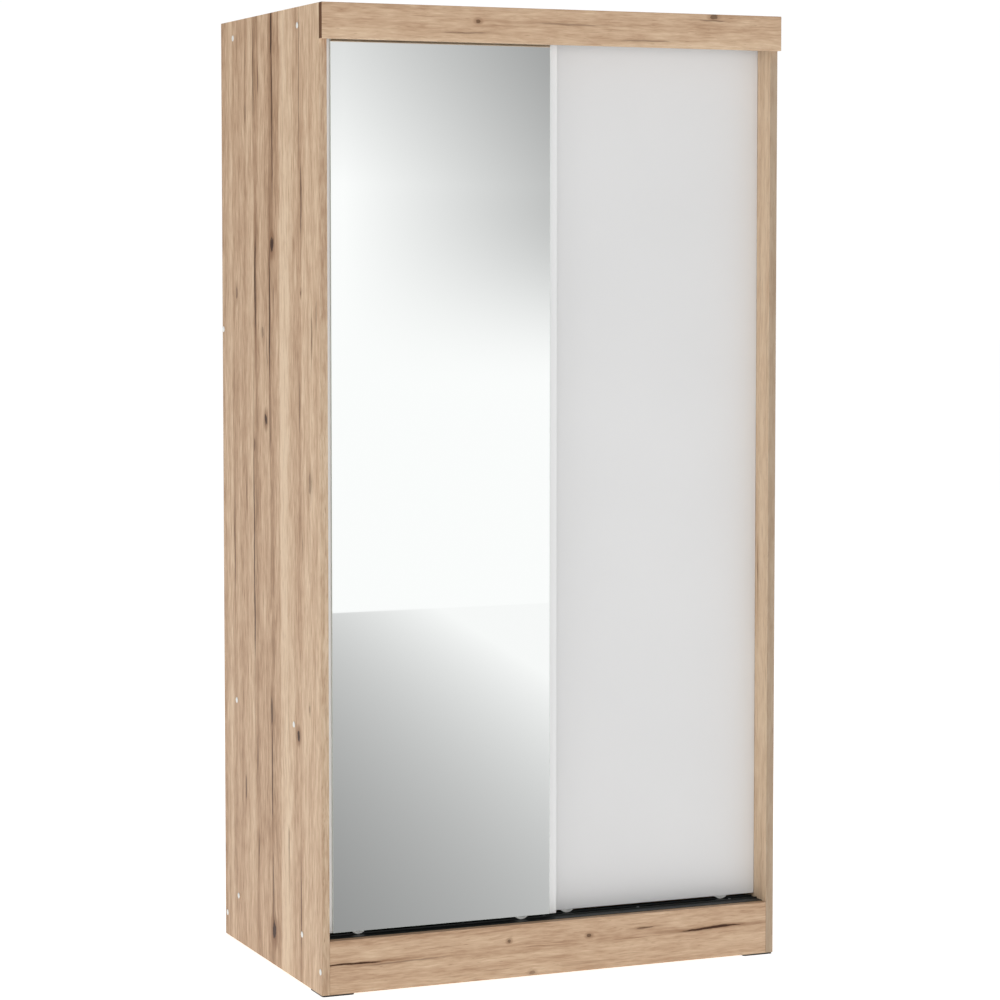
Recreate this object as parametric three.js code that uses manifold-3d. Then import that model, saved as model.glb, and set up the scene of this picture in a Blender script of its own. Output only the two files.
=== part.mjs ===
// Two-door sliding wardrobe in melamine-faced chipboard.
//
// Millimetres, +Z up, +X to the right, the doors face -Y. The model is laid out with Y = 0 at the
// front edges of the side panels and X = 0 in the middle, and the whole group is then moved along Y
// so that the origin ends up under the middle of the wardrobe, on the floor.

import * as THREE from "three";
import { mergeVertices } from "three/addons/utils/BufferGeometryUtils.js";
import Module from "manifold-3d";

const wasm = await Module();
wasm.setup();

// ---------------------------------------------------------------- driving dimensions

const WIDTH = 1000;
const HEIGHT = 1950;
const SIDE_DEPTH = 620;
const BOARD = 16;
const GAP = 0.3; // clearance between pieces that touch

// carcass
const PELMET_HEIGHT = 70;
const TOP_RECESS = 28; // top panel's upper face below the side panels' tops
const BOTTOM_TOP = 110; // upper face of the bottom panel, and top of the front plinth
const PLINTH_REAR_INSET = 7; // rear plinth's rear face in from the side panels' rear edges
const INNER_FRONT = 90; // front edges of partition and shelves, behind both doors
const FIXED_SHELF_Z = 520; // middle of the board
const SHELF_PITCH = 352; // adjustable shelves, eleven steps of the 32 mm hole row
const SHELF_COUNT = 3;
const SHELF_PLAY = 1; // each end of an adjustable shelf
const PIN_RADIUS = 2.5; // shelf pins, and the holes that they push into
const PIN_HOLE_DEPTH = 10;
const PIN_HOLE_PITCH = 32; // each pin has a spare hole above and below it
const PIN_ROWS = [137, 560]; // behind the side panels' front edges
const RAIL_Z = 1304; // middle of the back rail
const RAIL_HEIGHT = 100;

// back
const BACK_THICKNESS = 3;
const BACK_INSET = 2; // back panels in from the outer faces
const BACK_BOTTOM = 12;
const STRIP_WEB = 1.4;
const STRIP_SKIN = 0.8;
const STRIP_WIDTH = 14;

// feet
const GLIDE_THICKNESS = 3;
const GLIDE_WIDTH = 67;
const GLIDE_LENGTH = 74;
const GLIDE_CORNER = 5;
const GLIDE_NAIL_RADIUS = 2;
const GLIDE_INSET_FRONT = 1;
const GLIDE_INSET_REAR = 13;

// doors
const DOOR_BOTTOM = 119.5;
const DOOR_TOP = 1887;
const DOOR_SIDE_GAP = 0.5; // to the side panel, with the door at either end of its travel
const DOOR_OVERLAP = 36; // the two closed doors overlap by this much in the middle
const FRONT_DOOR_FACE = 32; // board face behind the side panels' front edges
const REAR_DOOR_FACE = 56;
const MIRROR_THICKNESS = 4;
const MIRROR_WIDTH = 468;
const MIRROR_INSET = 0.5; // glass in from the door's top and bottom edges

// rollers
const WHEEL_RADIUS = 18;
const WHEEL_WIDTH = 7;
const WHEEL_GROOVE_DEPTH = 3; // groove round the wheel that straddles the track's rib
const WHEEL_FROM_EDGE = 74; // wheel centre in from the door's side edge
const WHEEL_BACK_OFFSET = 6.4; // wheel's middle plane in front of the board's back face
const WHEEL_RIM_ROOM = 1.2; // housing to the wheel's rim
const WHEEL_SIDE_ROOM = 0.6; // housing to each face of the wheel
const AXLE_RADIUS = 2;
const POCKET_DEPTH = 12.2;
const POCKET_HALF_WIDTH = 23;
const POCKET_HEIGHT = 38;
const HOUSING_FIT = 0.4; // pocket to each side of the housing
const HOUSING_INSET = 0.5; // housing in from the door's bottom edge and the pocket's top
const HOUSING_PLATE = 2; // its flange's rear face behind the board
const HOUSING_FLANGE = 8; // flange past each side of the housing
const HOUSING_SCREW_RISE = 2; // screws above the axle

// tracks
const TRACK_FRONT = 17;
const TRACK_REAR = 82;
const TRACK_FLOOR = 1; // thickness of the bottom track's floor
const TRACK_RIB_HEIGHT = 2.5;
const TRACK_RIB = 1.8;
const TRACK_RIB_CLEARANCE = 0.7; // rib to each side of the wheel's groove
const TOP_TRACK_BASE = 1.8;
const TOP_TRACK_DEPTH = 11; // short enough for a door to be lifted off the bottom track's ribs
const TOP_TRACK_WALL = 1.6;
const GUIDE_TONGUE = 5; // thickness of the tongue that runs in the top track
const GUIDE_CLEARANCE = 0.7; // tongue to channel wall
const GUIDE_TIP_ROOM = 3; // tongue's tip to the underside of the top track's base, before GAP is taken off
const GUIDE_HALF_LENGTH = 12;
const GUIDE_SHOULDER = 4; // radius of the tongue's upper corners
const GUIDE_PLUG = [15, 4, 19.5]; // half length, half thickness, depth
const GUIDE_COLLAR = 2; // thickness
const GUIDE_COLLAR_LIP = [3, 2]; // past the plug's half length and half thickness

// hanging rail
const RAIL_TUBE_RADIUS = 12.5;
const RAIL_TUBE_WALL = 1.2;
const RAIL_TUBE_DROP = 62; // middle of the tube under the top panel
const SOCKET_FLANGE_RADIUS = 23;
const SOCKET_FLANGE = 3;
const SOCKET_LENGTH = 14;
const SOCKET_WALL = 2.4;
const SOCKET_SCREW_OFFSET = 19; // to each side of the tube
const SMALL_SCREW_RADIUS = 2; // holes in the sockets and in the roller housings

// screws that hold the boards together, and their caps
const SCREW_RADIUS = 3.5; // unthreaded part, in the board that the screw passes through
const SCREW_HEAD_RADIUS = 5.2;
const SCREW_HEAD_DEPTH = 4;
const PILOT_RADIUS = 2.5; // hole in the end of the board that the screw holds
const PILOT_DEPTH = 36;
const CAP_RADIUS = 6.3;
const CAP_DOME = 1.4;
const CAP_STEM_RADIUS = 2.2;
const CAP_STEM = 6;

// ---------------------------------------------------------------- worked out from them

const INNER = WIDTH / 2 - BOARD; // inner face of a side panel, from the middle
const SPAN = INNER - GAP; // end of a board that runs from side panel to side panel
const SIDE_BOTTOM = GLIDE_THICKNESS;
const TOP_FACE = HEIGHT - TOP_RECESS;
const CEILING = TOP_FACE - BOARD; // underside of the top panel
const BACK_FRONT = SIDE_DEPTH + GAP; // front face of the back panels
const BOARD_BACK = SIDE_DEPTH - STRIP_SKIN - GAP; // rear edges of the boards inside
const PELMET_FRONT = -GAP - BOARD;
const BACK_FACE = BACK_FRONT + BACK_THICKNESS + GAP + STRIP_SKIN;

const DOOR_WIDTH = INNER - DOOR_SIDE_GAP + DOOR_OVERLAP / 2;
const TRACK_TOP_FACE = BOTTOM_TOP + GAP + TRACK_FLOOR;
const WHEEL_Z = TRACK_TOP_FACE + GAP + WHEEL_RADIUS;
const AXLE_BORE = AXLE_RADIUS + GAP;
const FIXED_SHELF_TOP = FIXED_SHELF_Z + BOARD / 2;

// ---------------------------------------------------------------- materials

function material(name, color, roughness, metalness = 0) {
  const made = new THREE.MeshStandardMaterial({ color, roughness, metalness });
  made.name = name;
  return made;
}

const oak = material("oak_decor", 0xcfb08c, 0.55);
const white = material("white_melamine", 0xdedede, 0.45);
const mirror = material("mirror", 0xb9bcbd, 0.05, 1);
const hardboard = material("hardboard", 0xa07850, 0.8);
const blackPlastic = material("black_plastic", 0x151a19, 0.5);
const whitePlastic = material("white_plastic", 0xeeeeea, 0.4);
const chrome = material("chrome", 0xc8cacc, 0.15, 1);
const steel = material("steel", 0x9a9c9e, 0.35, 1);

// ---------------------------------------------------------------- solids

// A closed geometry as a manifold, which the booleans need.
function toManifold(geometry) {
  const bare = geometry.clone();
  bare.deleteAttribute("normal");
  bare.deleteAttribute("uv");
  const merged = mergeVertices(bare, 1e-4);
  const vertProperties = new Float32Array(merged.attributes.position.array);
  const triVerts = new Uint32Array(merged.index.array);
  return new wasm.Manifold(new wasm.Mesh({ numProp: 3, vertProperties, triVerts }));
}

function toGeometry(manifold) {
  const { vertProperties, triVerts } = manifold.getMesh();
  const indexed = new THREE.BufferGeometry();
  indexed.setAttribute("position", new THREE.BufferAttribute(vertProperties, 3));
  indexed.setIndex(new THREE.BufferAttribute(triVerts, 1));
  const flat = indexed.toNonIndexed();
  flat.computeVertexNormals();
  return flat;
}

function join(first, ...others) {
  return toGeometry(others.reduce((sum, other) => sum.add(toManifold(other)), toManifold(first)));
}

function cut(body, cutters) {
  return toGeometry(cutters.reduce((rest, cutter) => rest.subtract(toManifold(cutter)), toManifold(body)));
}

// A box from its limits on each axis.
function box([x0, x1], [y0, y1], [z0, z1]) {
  const geometry = new THREE.BoxGeometry(x1 - x0, y1 - y0, z1 - z0);
  return geometry.translate((x0 + x1) / 2, (y0 + y1) / 2, (z0 + z1) / 2);
}

// A cylinder along Y, centred on the origin.
function cylinder(radius, length, segments = 24) {
  return new THREE.CylinderGeometry(radius, radius, length, segments);
}

// A closed ring about Y, from its section's [radius, height] points.
function ring(points, segments) {
  const loop = [...points, points[0]];
  return new THREE.LatheGeometry(loop.map(([radius, y]) => new THREE.Vector2(radius, y)), segments);
}

// ---------------------------------------------------------------- scene graph

const wardrobe = new THREE.Group();
const carcass = new THREE.Group();
wardrobe.add(carcass);

// Adds a mesh whose geometry is already in place; its own origin goes to the middle of its box.
function place(group, name, geometry, look) {
  geometry.computeBoundingBox();
  const middle = geometry.boundingBox.getCenter(new THREE.Vector3());
  geometry.translate(-middle.x, -middle.y, -middle.z);
  const mesh = new THREE.Mesh(geometry, look);
  mesh.name = name;
  mesh.position.copy(middle);
  group.add(mesh);
  return mesh;
}

// ---------------------------------------------------------------- screwed joints

// Every screw that goes in from a side panel's outer face: its place on the face, and the board it
// holds. The fixed shelf is in the left bay only.
const SIDE_SCREWS = [
  { name: "top_front", board: "top_panel", y: 127, z: CEILING + BOARD / 2 },
  { name: "top_rear", board: "top_panel", y: 538, z: CEILING + BOARD / 2 },
  { name: "shelf_front", board: "shelf_fixed", y: 163, z: FIXED_SHELF_Z, leftOnly: true },
  { name: "shelf_rear", board: "shelf_fixed", y: 534, z: FIXED_SHELF_Z, leftOnly: true },
  { name: "bottom_front", board: "bottom_panel", y: 118, z: BOTTOM_TOP - BOARD / 2 },
  { name: "bottom_rear", board: "bottom_panel", y: 528, z: BOTTOM_TOP - BOARD / 2 },
  { name: "plinth_front", board: "plinth_front", y: BOARD / 2, z: 49 },
  { name: "plinth_rear", board: "plinth_rear", y: SIDE_DEPTH - PLINTH_REAR_INSET - BOARD / 2, z: 51 },
  { name: "back_rail", board: "back_rail", y: BOARD_BACK - BOARD / 2, z: RAIL_Z },
];

// Screws through the top and bottom panels into the partition's ends.
const PARTITION_SCREWS = [190, 520];

// Hole for a countersunk screw through a board. It runs along -Y from the board's face at Y = 0.
function screwHole() {
  const profile = [
    [0, 1],
    [SCREW_HEAD_RADIUS, 1],
    [SCREW_HEAD_RADIUS, -1],
    [SCREW_RADIUS, -SCREW_HEAD_DEPTH],
    [SCREW_RADIUS, -BOARD - 1],
    [0, -BOARD - 1],
  ];
  return new THREE.LatheGeometry(profile.reverse().map(([radius, y]) => new THREE.Vector2(radius, y)), 16);
}

// Pilot hole in the end of a board. It runs along -Y from the board's end at Y = 0.
function pilotHole() {
  return cylinder(PILOT_RADIUS, PILOT_DEPTH + 1, 12).translate(0, (1 - PILOT_DEPTH) / 2, 0);
}

function screwsInto(board) {
  return SIDE_SCREWS.filter((screw) => screw.board === board);
}

// Pilot holes in both ends of a board between the side panels, or in its left end only.
function endPilots(board) {
  const holes = [];
  for (const screw of screwsInto(board)) {
    holes.push(pilotHole().rotateZ(Math.PI / 2).translate(-SPAN, screw.y, screw.z));
    if (!screw.leftOnly) {
      holes.push(pilotHole().rotateZ(-Math.PI / 2).translate(SPAN, screw.y, screw.z));
    }
  }
  return holes;
}

// ---------------------------------------------------------------- shelf pin holes

function shelfUnderside(number) {
  return FIXED_SHELF_TOP + number * SHELF_PITCH - BOARD;
}

// Blind holes in the face at X = face of a board that lies on the given side of that face.
function pinHoles(face, side) {
  const holes = [];
  for (let number = 1; number <= SHELF_COUNT; number += 1) {
    for (const step of [-PIN_HOLE_PITCH, 0, PIN_HOLE_PITCH]) {
      for (const row of PIN_ROWS) {
        const bore = cylinder(PIN_RADIUS, PIN_HOLE_DEPTH + 1, 10).rotateZ(Math.PI / 2);
        const middle = face + (side * (PIN_HOLE_DEPTH - 1)) / 2;
        holes.push(bore.translate(middle, row, shelfUnderside(number) - PIN_RADIUS + step));
      }
    }
  }
  return holes;
}

// ---------------------------------------------------------------- carcass boards

function sidePanel(side) {
  const outer = (side * WIDTH) / 2;
  const inner = side * INNER;
  const across = [Math.min(outer, inner), Math.max(outer, inner)];
  const body = box(across, [0, SIDE_DEPTH], [SIDE_BOTTOM, HEIGHT]);
  const screws = SIDE_SCREWS.filter((screw) => side < 0 || !screw.leftOnly);
  const screwHoles = screws.map((screw) => {
    return screwHole().rotateZ((-side * Math.PI) / 2).translate(outer, screw.y, screw.z);
  });
  return cut(body, side < 0 ? [...screwHoles, ...pinHoles(inner, side)] : screwHoles);
}

function topPanel() {
  const body = box([-SPAN, SPAN], [0, BOARD_BACK], [CEILING, TOP_FACE]);
  const heads = PARTITION_SCREWS.map((y) => screwHole().rotateX(Math.PI / 2).translate(0, y, TOP_FACE));
  return cut(body, [...endPilots("top_panel"), ...heads]);
}

function bottomPanel() {
  const underside = BOTTOM_TOP - BOARD;
  const body = box([-SPAN, SPAN], [BOARD + GAP, BOARD_BACK], [underside, BOTTOM_TOP]);
  const heads = PARTITION_SCREWS.map((y) => screwHole().rotateX(-Math.PI / 2).translate(0, y, underside));
  return cut(body, [...endPilots("bottom_panel"), ...heads]);
}

// The partition is notched round the back rail, so the joint of the two back panels lies on its edge.
function partition() {
  const bottom = BOTTOM_TOP + GAP;
  const top = CEILING - GAP;
  const body = box([-BOARD / 2, BOARD / 2], [INNER_FRONT, BOARD_BACK], [bottom, top]);
  const notch = box(
    [-BOARD, BOARD],
    [BOARD_BACK - BOARD - GAP, SIDE_DEPTH],
    [RAIL_Z - RAIL_HEIGHT / 2 - GAP, RAIL_Z + RAIL_HEIGHT / 2 + GAP],
  );
  const above = PARTITION_SCREWS.map((y) => pilotHole().rotateX(Math.PI / 2).translate(0, y, top));
  const below = PARTITION_SCREWS.map((y) => pilotHole().rotateX(-Math.PI / 2).translate(0, y, bottom));
  return cut(body, [notch, ...above, ...below, ...pinHoles(-BOARD / 2, 1)]);
}

function plinthFront() {
  const body = box([-SPAN, SPAN], [0, BOARD], [SIDE_BOTTOM, BOTTOM_TOP]);
  return cut(body, endPilots("plinth_front"));
}

function plinthRear() {
  const rear = SIDE_DEPTH - PLINTH_REAR_INSET;
  const body = box([-SPAN, SPAN], [rear - BOARD, rear], [SIDE_BOTTOM, BOTTOM_TOP - BOARD - GAP]);
  return cut(body, endPilots("plinth_rear"));
}

function backRail() {
  const heights = [RAIL_Z - RAIL_HEIGHT / 2, RAIL_Z + RAIL_HEIGHT / 2];
  const body = box([-SPAN, SPAN], [BOARD_BACK - BOARD, BOARD_BACK], heights);
  return cut(body, endPilots("back_rail"));
}

function fixedShelf() {
  const across = [-SPAN, -BOARD / 2 - GAP];
  const heights = [FIXED_SHELF_Z - BOARD / 2, FIXED_SHELF_TOP];
  return cut(box(across, [INNER_FRONT, BOARD_BACK], heights), endPilots("shelf_fixed"));
}

function adjustableShelf(number) {
  const underside = shelfUnderside(number);
  const across = [-INNER + SHELF_PLAY, -BOARD / 2 - SHELF_PLAY];
  const depth = [INNER_FRONT, BOARD_BACK - BOARD - SHELF_PLAY];
  return box(across, depth, [underside, underside + BOARD]);
}

function addBoards() {
  place(carcass, "side_panel_left", sidePanel(-1), oak);
  place(carcass, "side_panel_right", sidePanel(1), oak);
  place(carcass, "top_panel", topPanel(), oak);
  place(carcass, "bottom_panel", bottomPanel(), oak);
  place(carcass, "partition", partition(), oak);
  place(carcass, "plinth_front", plinthFront(), oak);
  place(carcass, "plinth_rear", plinthRear(), oak);
  place(carcass, "back_rail", backRail(), oak);
  place(carcass, "shelf_fixed", fixedShelf(), oak);
  for (let number = 1; number <= SHELF_COUNT; number += 1) {
    place(carcass, `shelf_adjustable_${number}`, adjustableShelf(number), oak);
  }
  const pelmet = box([-WIDTH / 2, WIDTH / 2], [PELMET_FRONT, -GAP], [HEIGHT - PELMET_HEIGHT, HEIGHT]);
  place(carcass, "pelmet", pelmet, oak);
}

// ---------------------------------------------------------------- back

// H-section strip that holds the two back panels edge to edge.
function jointStrip(heights) {
  const web = STRIP_WEB / 2;
  const flange = STRIP_WIDTH / 2;
  const front = BACK_FRONT - GAP - STRIP_SKIN;
  return join(
    box([-flange, flange], [front, front + STRIP_SKIN], heights),
    box([-web, web], [front, BACK_FACE], heights),
    box([-flange, flange], [BACK_FACE - STRIP_SKIN, BACK_FACE], heights),
  );
}

function addBack() {
  const heights = [BACK_BOTTOM, HEIGHT - BACK_INSET];
  const depth = [BACK_FRONT, BACK_FRONT + BACK_THICKNESS];
  const outer = WIDTH / 2 - BACK_INSET;
  const inner = STRIP_WEB / 2 + GAP;
  place(carcass, "back_panel_left", box([-outer, -inner], depth, heights), hardboard);
  place(carcass, "back_panel_right", box([inner, outer], depth, heights), hardboard);
  place(carcass, "back_joint_strip", jointStrip(heights), whitePlastic);
}

// ---------------------------------------------------------------- glides

// Flat corner plate with rounded corners and two nail holes.
function glidePlate() {
  const halfWidth = GLIDE_WIDTH / 2;
  const halfLength = GLIDE_LENGTH / 2;
  const r = GLIDE_CORNER;
  const outline = new THREE.Shape();
  outline.absarc(halfWidth - r, halfLength - r, r, 0, Math.PI / 2);
  outline.absarc(r - halfWidth, halfLength - r, r, Math.PI / 2, Math.PI);
  outline.absarc(r - halfWidth, r - halfLength, r, Math.PI, 1.5 * Math.PI);
  outline.absarc(halfWidth - r, r - halfLength, r, 1.5 * Math.PI, 2 * Math.PI);
  for (const along of [-GLIDE_LENGTH / 4, GLIDE_LENGTH / 4]) {
    const hole = new THREE.Path();
    hole.absarc(0, along, GLIDE_NAIL_RADIUS, 0, 2 * Math.PI);
    outline.holes.push(hole);
  }
  const options = { depth: GLIDE_THICKNESS - GAP, bevelEnabled: false, curveSegments: 5 };
  return new THREE.ExtrudeGeometry(outline, options);
}

function addGlides() {
  const front = GLIDE_LENGTH / 2;
  const rear = SIDE_DEPTH - GLIDE_LENGTH / 2 - PLINTH_REAR_INSET / 2;
  for (const [sideName, side] of [["left", -1], ["right", 1]]) {
    for (const [endName, y, inset] of [["front", front, GLIDE_INSET_FRONT], ["rear", rear, GLIDE_INSET_REAR]]) {
      const x = side * (WIDTH / 2 - inset - GLIDE_WIDTH / 2);
      place(carcass, `glide_${endName}_${sideName}`, glidePlate().translate(x, y, 0), blackPlastic);
    }
  }
}

// ---------------------------------------------------------------- screw caps

// Low dome with a stem that plugs into the screw's socket. The stem runs along -Y.
function screwCap() {
  const rim = 0.5;
  const profile = [
    [0, -CAP_STEM],
    [CAP_STEM_RADIUS, -CAP_STEM],
    [CAP_STEM_RADIUS, GAP],
    [CAP_RADIUS, GAP],
    [CAP_RADIUS, GAP + rim],
    [CAP_RADIUS * 0.8, GAP + CAP_DOME - 0.3],
    [0, GAP + CAP_DOME],
  ];
  return new THREE.LatheGeometry(profile.map(([radius, y]) => new THREE.Vector2(radius, y)), 20);
}

function addScrewCaps() {
  for (const [sideName, side] of [["left", -1], ["right", 1]]) {
    for (const screw of SIDE_SCREWS) {
      if (side > 0 && screw.leftOnly) {
        continue;
      }
      const cap = new THREE.Mesh(screwCap(), whitePlastic);
      cap.name = `screw_cap_${sideName}_${screw.name}`;
      cap.rotation.z = (-side * Math.PI) / 2;
      cap.position.set((side * WIDTH) / 2, screw.y, screw.z);
      carcass.add(cap);
    }
  }
}

// ---------------------------------------------------------------- hanging rail

// The right bay, between the partition and the right side panel, in X.
const BAY = [BOARD / 2 + GAP, SPAN];
const RAIL_Y = (INNER_FRONT + BOARD_BACK) / 2;
const RAIL_TUBE_Z = CEILING - RAIL_TUBE_DROP;

function railTube() {
  const inner = RAIL_TUBE_RADIUS - RAIL_TUBE_WALL;
  const half = (BAY[1] - BAY[0]) / 2 - SOCKET_FLANGE - GAP;
  const section = [
    [inner, -half],
    [RAIL_TUBE_RADIUS, -half],
    [RAIL_TUBE_RADIUS, half],
    [inner, half],
  ];
  return ring(section, 36).rotateZ(Math.PI / 2);
}

// Round flange with a cup that is open at the top, so the tube drops in. The flange's back is at X = 0
// and the cup points along +X.
function railSocket() {
  const reach = SOCKET_FLANGE + SOCKET_LENGTH;
  const seat = RAIL_TUBE_RADIUS + GAP;
  const flange = cylinder(SOCKET_FLANGE_RADIUS, SOCKET_FLANGE, 36).translate(0, -SOCKET_FLANGE / 2, 0);
  const cup = cylinder(seat + SOCKET_WALL, reach, 36).translate(0, -reach / 2, 0);
  const bore = cylinder(seat, SOCKET_LENGTH + 1, 36).translate(0, -SOCKET_FLANGE - (SOCKET_LENGTH + 1) / 2, 0);
  const turned = join(flange, cup).rotateZ(Math.PI / 2);
  const mouth = box([SOCKET_FLANGE, reach + 1], [-seat, seat], [0, SOCKET_FLANGE_RADIUS]);
  const screwHoles = [-1, 1].map((side) => {
    const hole = cylinder(SMALL_SCREW_RADIUS, 4 * SOCKET_FLANGE, 16).rotateZ(Math.PI / 2);
    return hole.translate(0, side * SOCKET_SCREW_OFFSET, 0);
  });
  return cut(turned, [bore.rotateZ(Math.PI / 2), mouth, ...screwHoles]);
}

function addHangingRail() {
  const middle = (BAY[0] + BAY[1]) / 2;
  place(carcass, "hanging_rail", railTube().translate(middle, RAIL_Y, RAIL_TUBE_Z), chrome);
  const atPartition = railSocket().translate(BAY[0], RAIL_Y, RAIL_TUBE_Z);
  const atSide = railSocket().rotateZ(Math.PI).translate(BAY[1], RAIL_Y, RAIL_TUBE_Z);
  place(carcass, "rail_socket_partition", atPartition, chrome);
  place(carcass, "rail_socket_side", atSide, chrome);
}

// ---------------------------------------------------------------- tracks

// Middle planes of the two doors' wheels and top guides.
const DOOR_FACES = [FRONT_DOOR_FACE, REAR_DOOR_FACE];
const WHEEL_PLANES = DOOR_FACES.map((face) => face + BOARD - WHEEL_BACK_OFFSET);
const GUIDE_PLANES = DOOR_FACES.map((face) => face + BOARD / 2);

// A track's section, drawn in depth (Y) and height (Z), run along X between the side panels.
function extrudeAlongX(outline) {
  const shape = new THREE.Shape(outline.map(([y, z]) => new THREE.Vector2(y, z)));
  const geometry = new THREE.ExtrudeGeometry(shape, { depth: 2 * SPAN, bevelEnabled: false });
  return geometry.rotateX(Math.PI / 2).rotateZ(Math.PI / 2).translate(-SPAN, 0, 0);
}

// One outline round a flat base with upright ribs on it; each rib is [middle, thickness].
function ribbedOutline(base, thickness, ribs, ribHeight) {
  const [front, rear] = base;
  const points = [[front, 0], [rear, 0], [rear, thickness]];
  for (const [middle, width] of [...ribs].sort((a, b) => b[0] - a[0])) {
    points.push([middle + width / 2, thickness]);
    points.push([middle + width / 2, thickness + ribHeight]);
    points.push([middle - width / 2, thickness + ribHeight]);
    points.push([middle - width / 2, thickness]);
  }
  points.push([front, thickness]);
  return points;
}

// A pair of ribs on either side of each running plane.
function ribPairs(planes, halfChannel, width) {
  const offset = halfChannel + width / 2;
  return planes.flatMap((plane) => [[plane - offset, width], [plane + offset, width]]);
}

function addTracks() {
  const bottomRibs = WHEEL_PLANES.map((plane) => [plane, TRACK_RIB]);
  const bottom = ribbedOutline([TRACK_FRONT, TRACK_REAR], TRACK_FLOOR, bottomRibs, TRACK_RIB_HEIGHT);
  const bottomTrack = extrudeAlongX(bottom).translate(0, 0, BOTTOM_TOP + GAP);
  place(carcass, "track_bottom", bottomTrack, blackPlastic);

  const halfTop = GUIDE_TONGUE / 2 + GUIDE_CLEARANCE;
  const topRibs = ribPairs(GUIDE_PLANES, halfTop, TOP_TRACK_WALL);
  const top = ribbedOutline([TRACK_FRONT, TRACK_REAR], TOP_TRACK_BASE, topRibs, TOP_TRACK_DEPTH);
  const hung = top.map(([y, z]) => [y, -z]).reverse();
  const topTrack = extrudeAlongX(hung).translate(0, 0, CEILING - GAP);
  place(carcass, "track_top", topTrack, blackPlastic);
}

// ---------------------------------------------------------------- doors

// White plastic wheel about the Y axis, with a solid web between hub and rim and a groove round the rim.
function wheel() {
  const half = WHEEL_WIDTH / 2;
  const groove = TRACK_RIB / 2 + TRACK_RIB_CLEARANCE;
  const web = 1.4;
  const hub = 5.5;
  const rim = 13.5;
  const chamfer = 0.5;
  const section = [
    [AXLE_BORE, -half],
    [hub, -half],
    [hub, -web],
    [rim, -web],
    [rim, -half],
    [WHEEL_RADIUS - chamfer, -half],
    [WHEEL_RADIUS, -half + chamfer],
    [WHEEL_RADIUS, -groove],
    [WHEEL_RADIUS - WHEEL_GROOVE_DEPTH, -groove],
    [WHEEL_RADIUS - WHEEL_GROOVE_DEPTH, groove],
    [WHEEL_RADIUS, groove],
    [WHEEL_RADIUS, half - chamfer],
    [WHEEL_RADIUS - chamfer, half],
    [rim, half],
    [rim, web],
    [hub, web],
    [hub, half],
    [AXLE_BORE, half],
  ];
  return ring(section, 24);
}

// Plastic cup that sits in a pocket in the door's back, with a plate screwed to the board's back face.
// Its wheel is centred on the origin; Y = back is the board's back face.
function rollerHousing() {
  const back = WHEEL_BACK_OFFSET;
  const wheelRoom = WHEEL_RADIUS + WHEEL_RIM_ROOM;
  const bottom = DOOR_BOTTOM + HOUSING_INSET - WHEEL_Z;
  const top = DOOR_BOTTOM + POCKET_HEIGHT - HOUSING_INSET - WHEEL_Z;
  const side = POCKET_HALF_WIDTH - HOUSING_FIT;
  const front = back - POCKET_DEPTH + GAP;
  const plate = [back + GAP, back + HOUSING_PLATE];
  const cup = box([-side, side], [front, plate[1]], [bottom, top]);
  const flange = box([-side - HOUSING_FLANGE, side + HOUSING_FLANGE], plate, [bottom, top]);
  const halfSlot = WHEEL_WIDTH / 2 + WHEEL_SIDE_ROOM;
  const slot = box([-wheelRoom, wheelRoom], [-halfSlot, halfSlot], [bottom - 1, 0]);
  const dome = cylinder(wheelRoom, 2 * halfSlot, 36);
  const bore = cylinder(AXLE_BORE, 60, 20);
  const screws = [-1, 1].map((end) => {
    const hole = cylinder(SMALL_SCREW_RADIUS, 20, 16);
    return hole.translate(end * (side + HOUSING_FLANGE / 2), plate[1], HOUSING_SCREW_RISE);
  });
  return cut(join(cup, flange), [slot, dome, bore, ...screws]);
}

function axle() {
  const reach = POCKET_DEPTH - 2 * GAP;
  return cylinder(AXLE_RADIUS, reach, 20).translate(0, WHEEL_BACK_OFFSET - POCKET_DEPTH / 2, 0);
}

// Plastic guide: a plug in the door's top edge, a collar on it and a tongue that runs in the top track.
// Its middle plane is Y = 0 and the door's top edge is Z = 0.
function topGuide() {
  const [length, thickness, depth] = GUIDE_PLUG;
  const collar = [GAP, GAP + GUIDE_COLLAR];
  const reach = CEILING - DOOR_TOP - TOP_TRACK_BASE - GUIDE_TIP_ROOM;
  const tongue = GUIDE_TONGUE / 2;
  const r = GUIDE_SHOULDER;
  const shoulder = GUIDE_HALF_LENGTH - r;
  const outline = new THREE.Shape();
  outline.moveTo(-GUIDE_HALF_LENGTH, collar[0]);
  outline.lineTo(GUIDE_HALF_LENGTH, collar[0]);
  outline.lineTo(GUIDE_HALF_LENGTH, reach - r);
  outline.absarc(shoulder, reach - r, r, 0, Math.PI / 2);
  outline.absarc(-shoulder, reach - r, r, Math.PI / 2, Math.PI);
  outline.closePath();
  const options = { depth: 2 * tongue, bevelEnabled: false, curveSegments: 6 };
  const fin = new THREE.ExtrudeGeometry(outline, options).rotateX(Math.PI / 2).translate(0, tongue, 0);
  const plug = box([-length, length], [-thickness, thickness], [-depth, collar[1]]);
  const rest = box(
    [-length - GUIDE_COLLAR_LIP[0], length + GUIDE_COLLAR_LIP[0]],
    [-thickness - GUIDE_COLLAR_LIP[1], thickness + GUIDE_COLLAR_LIP[1]],
    collar,
  );
  return join(plug, rest, fin);
}

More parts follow.
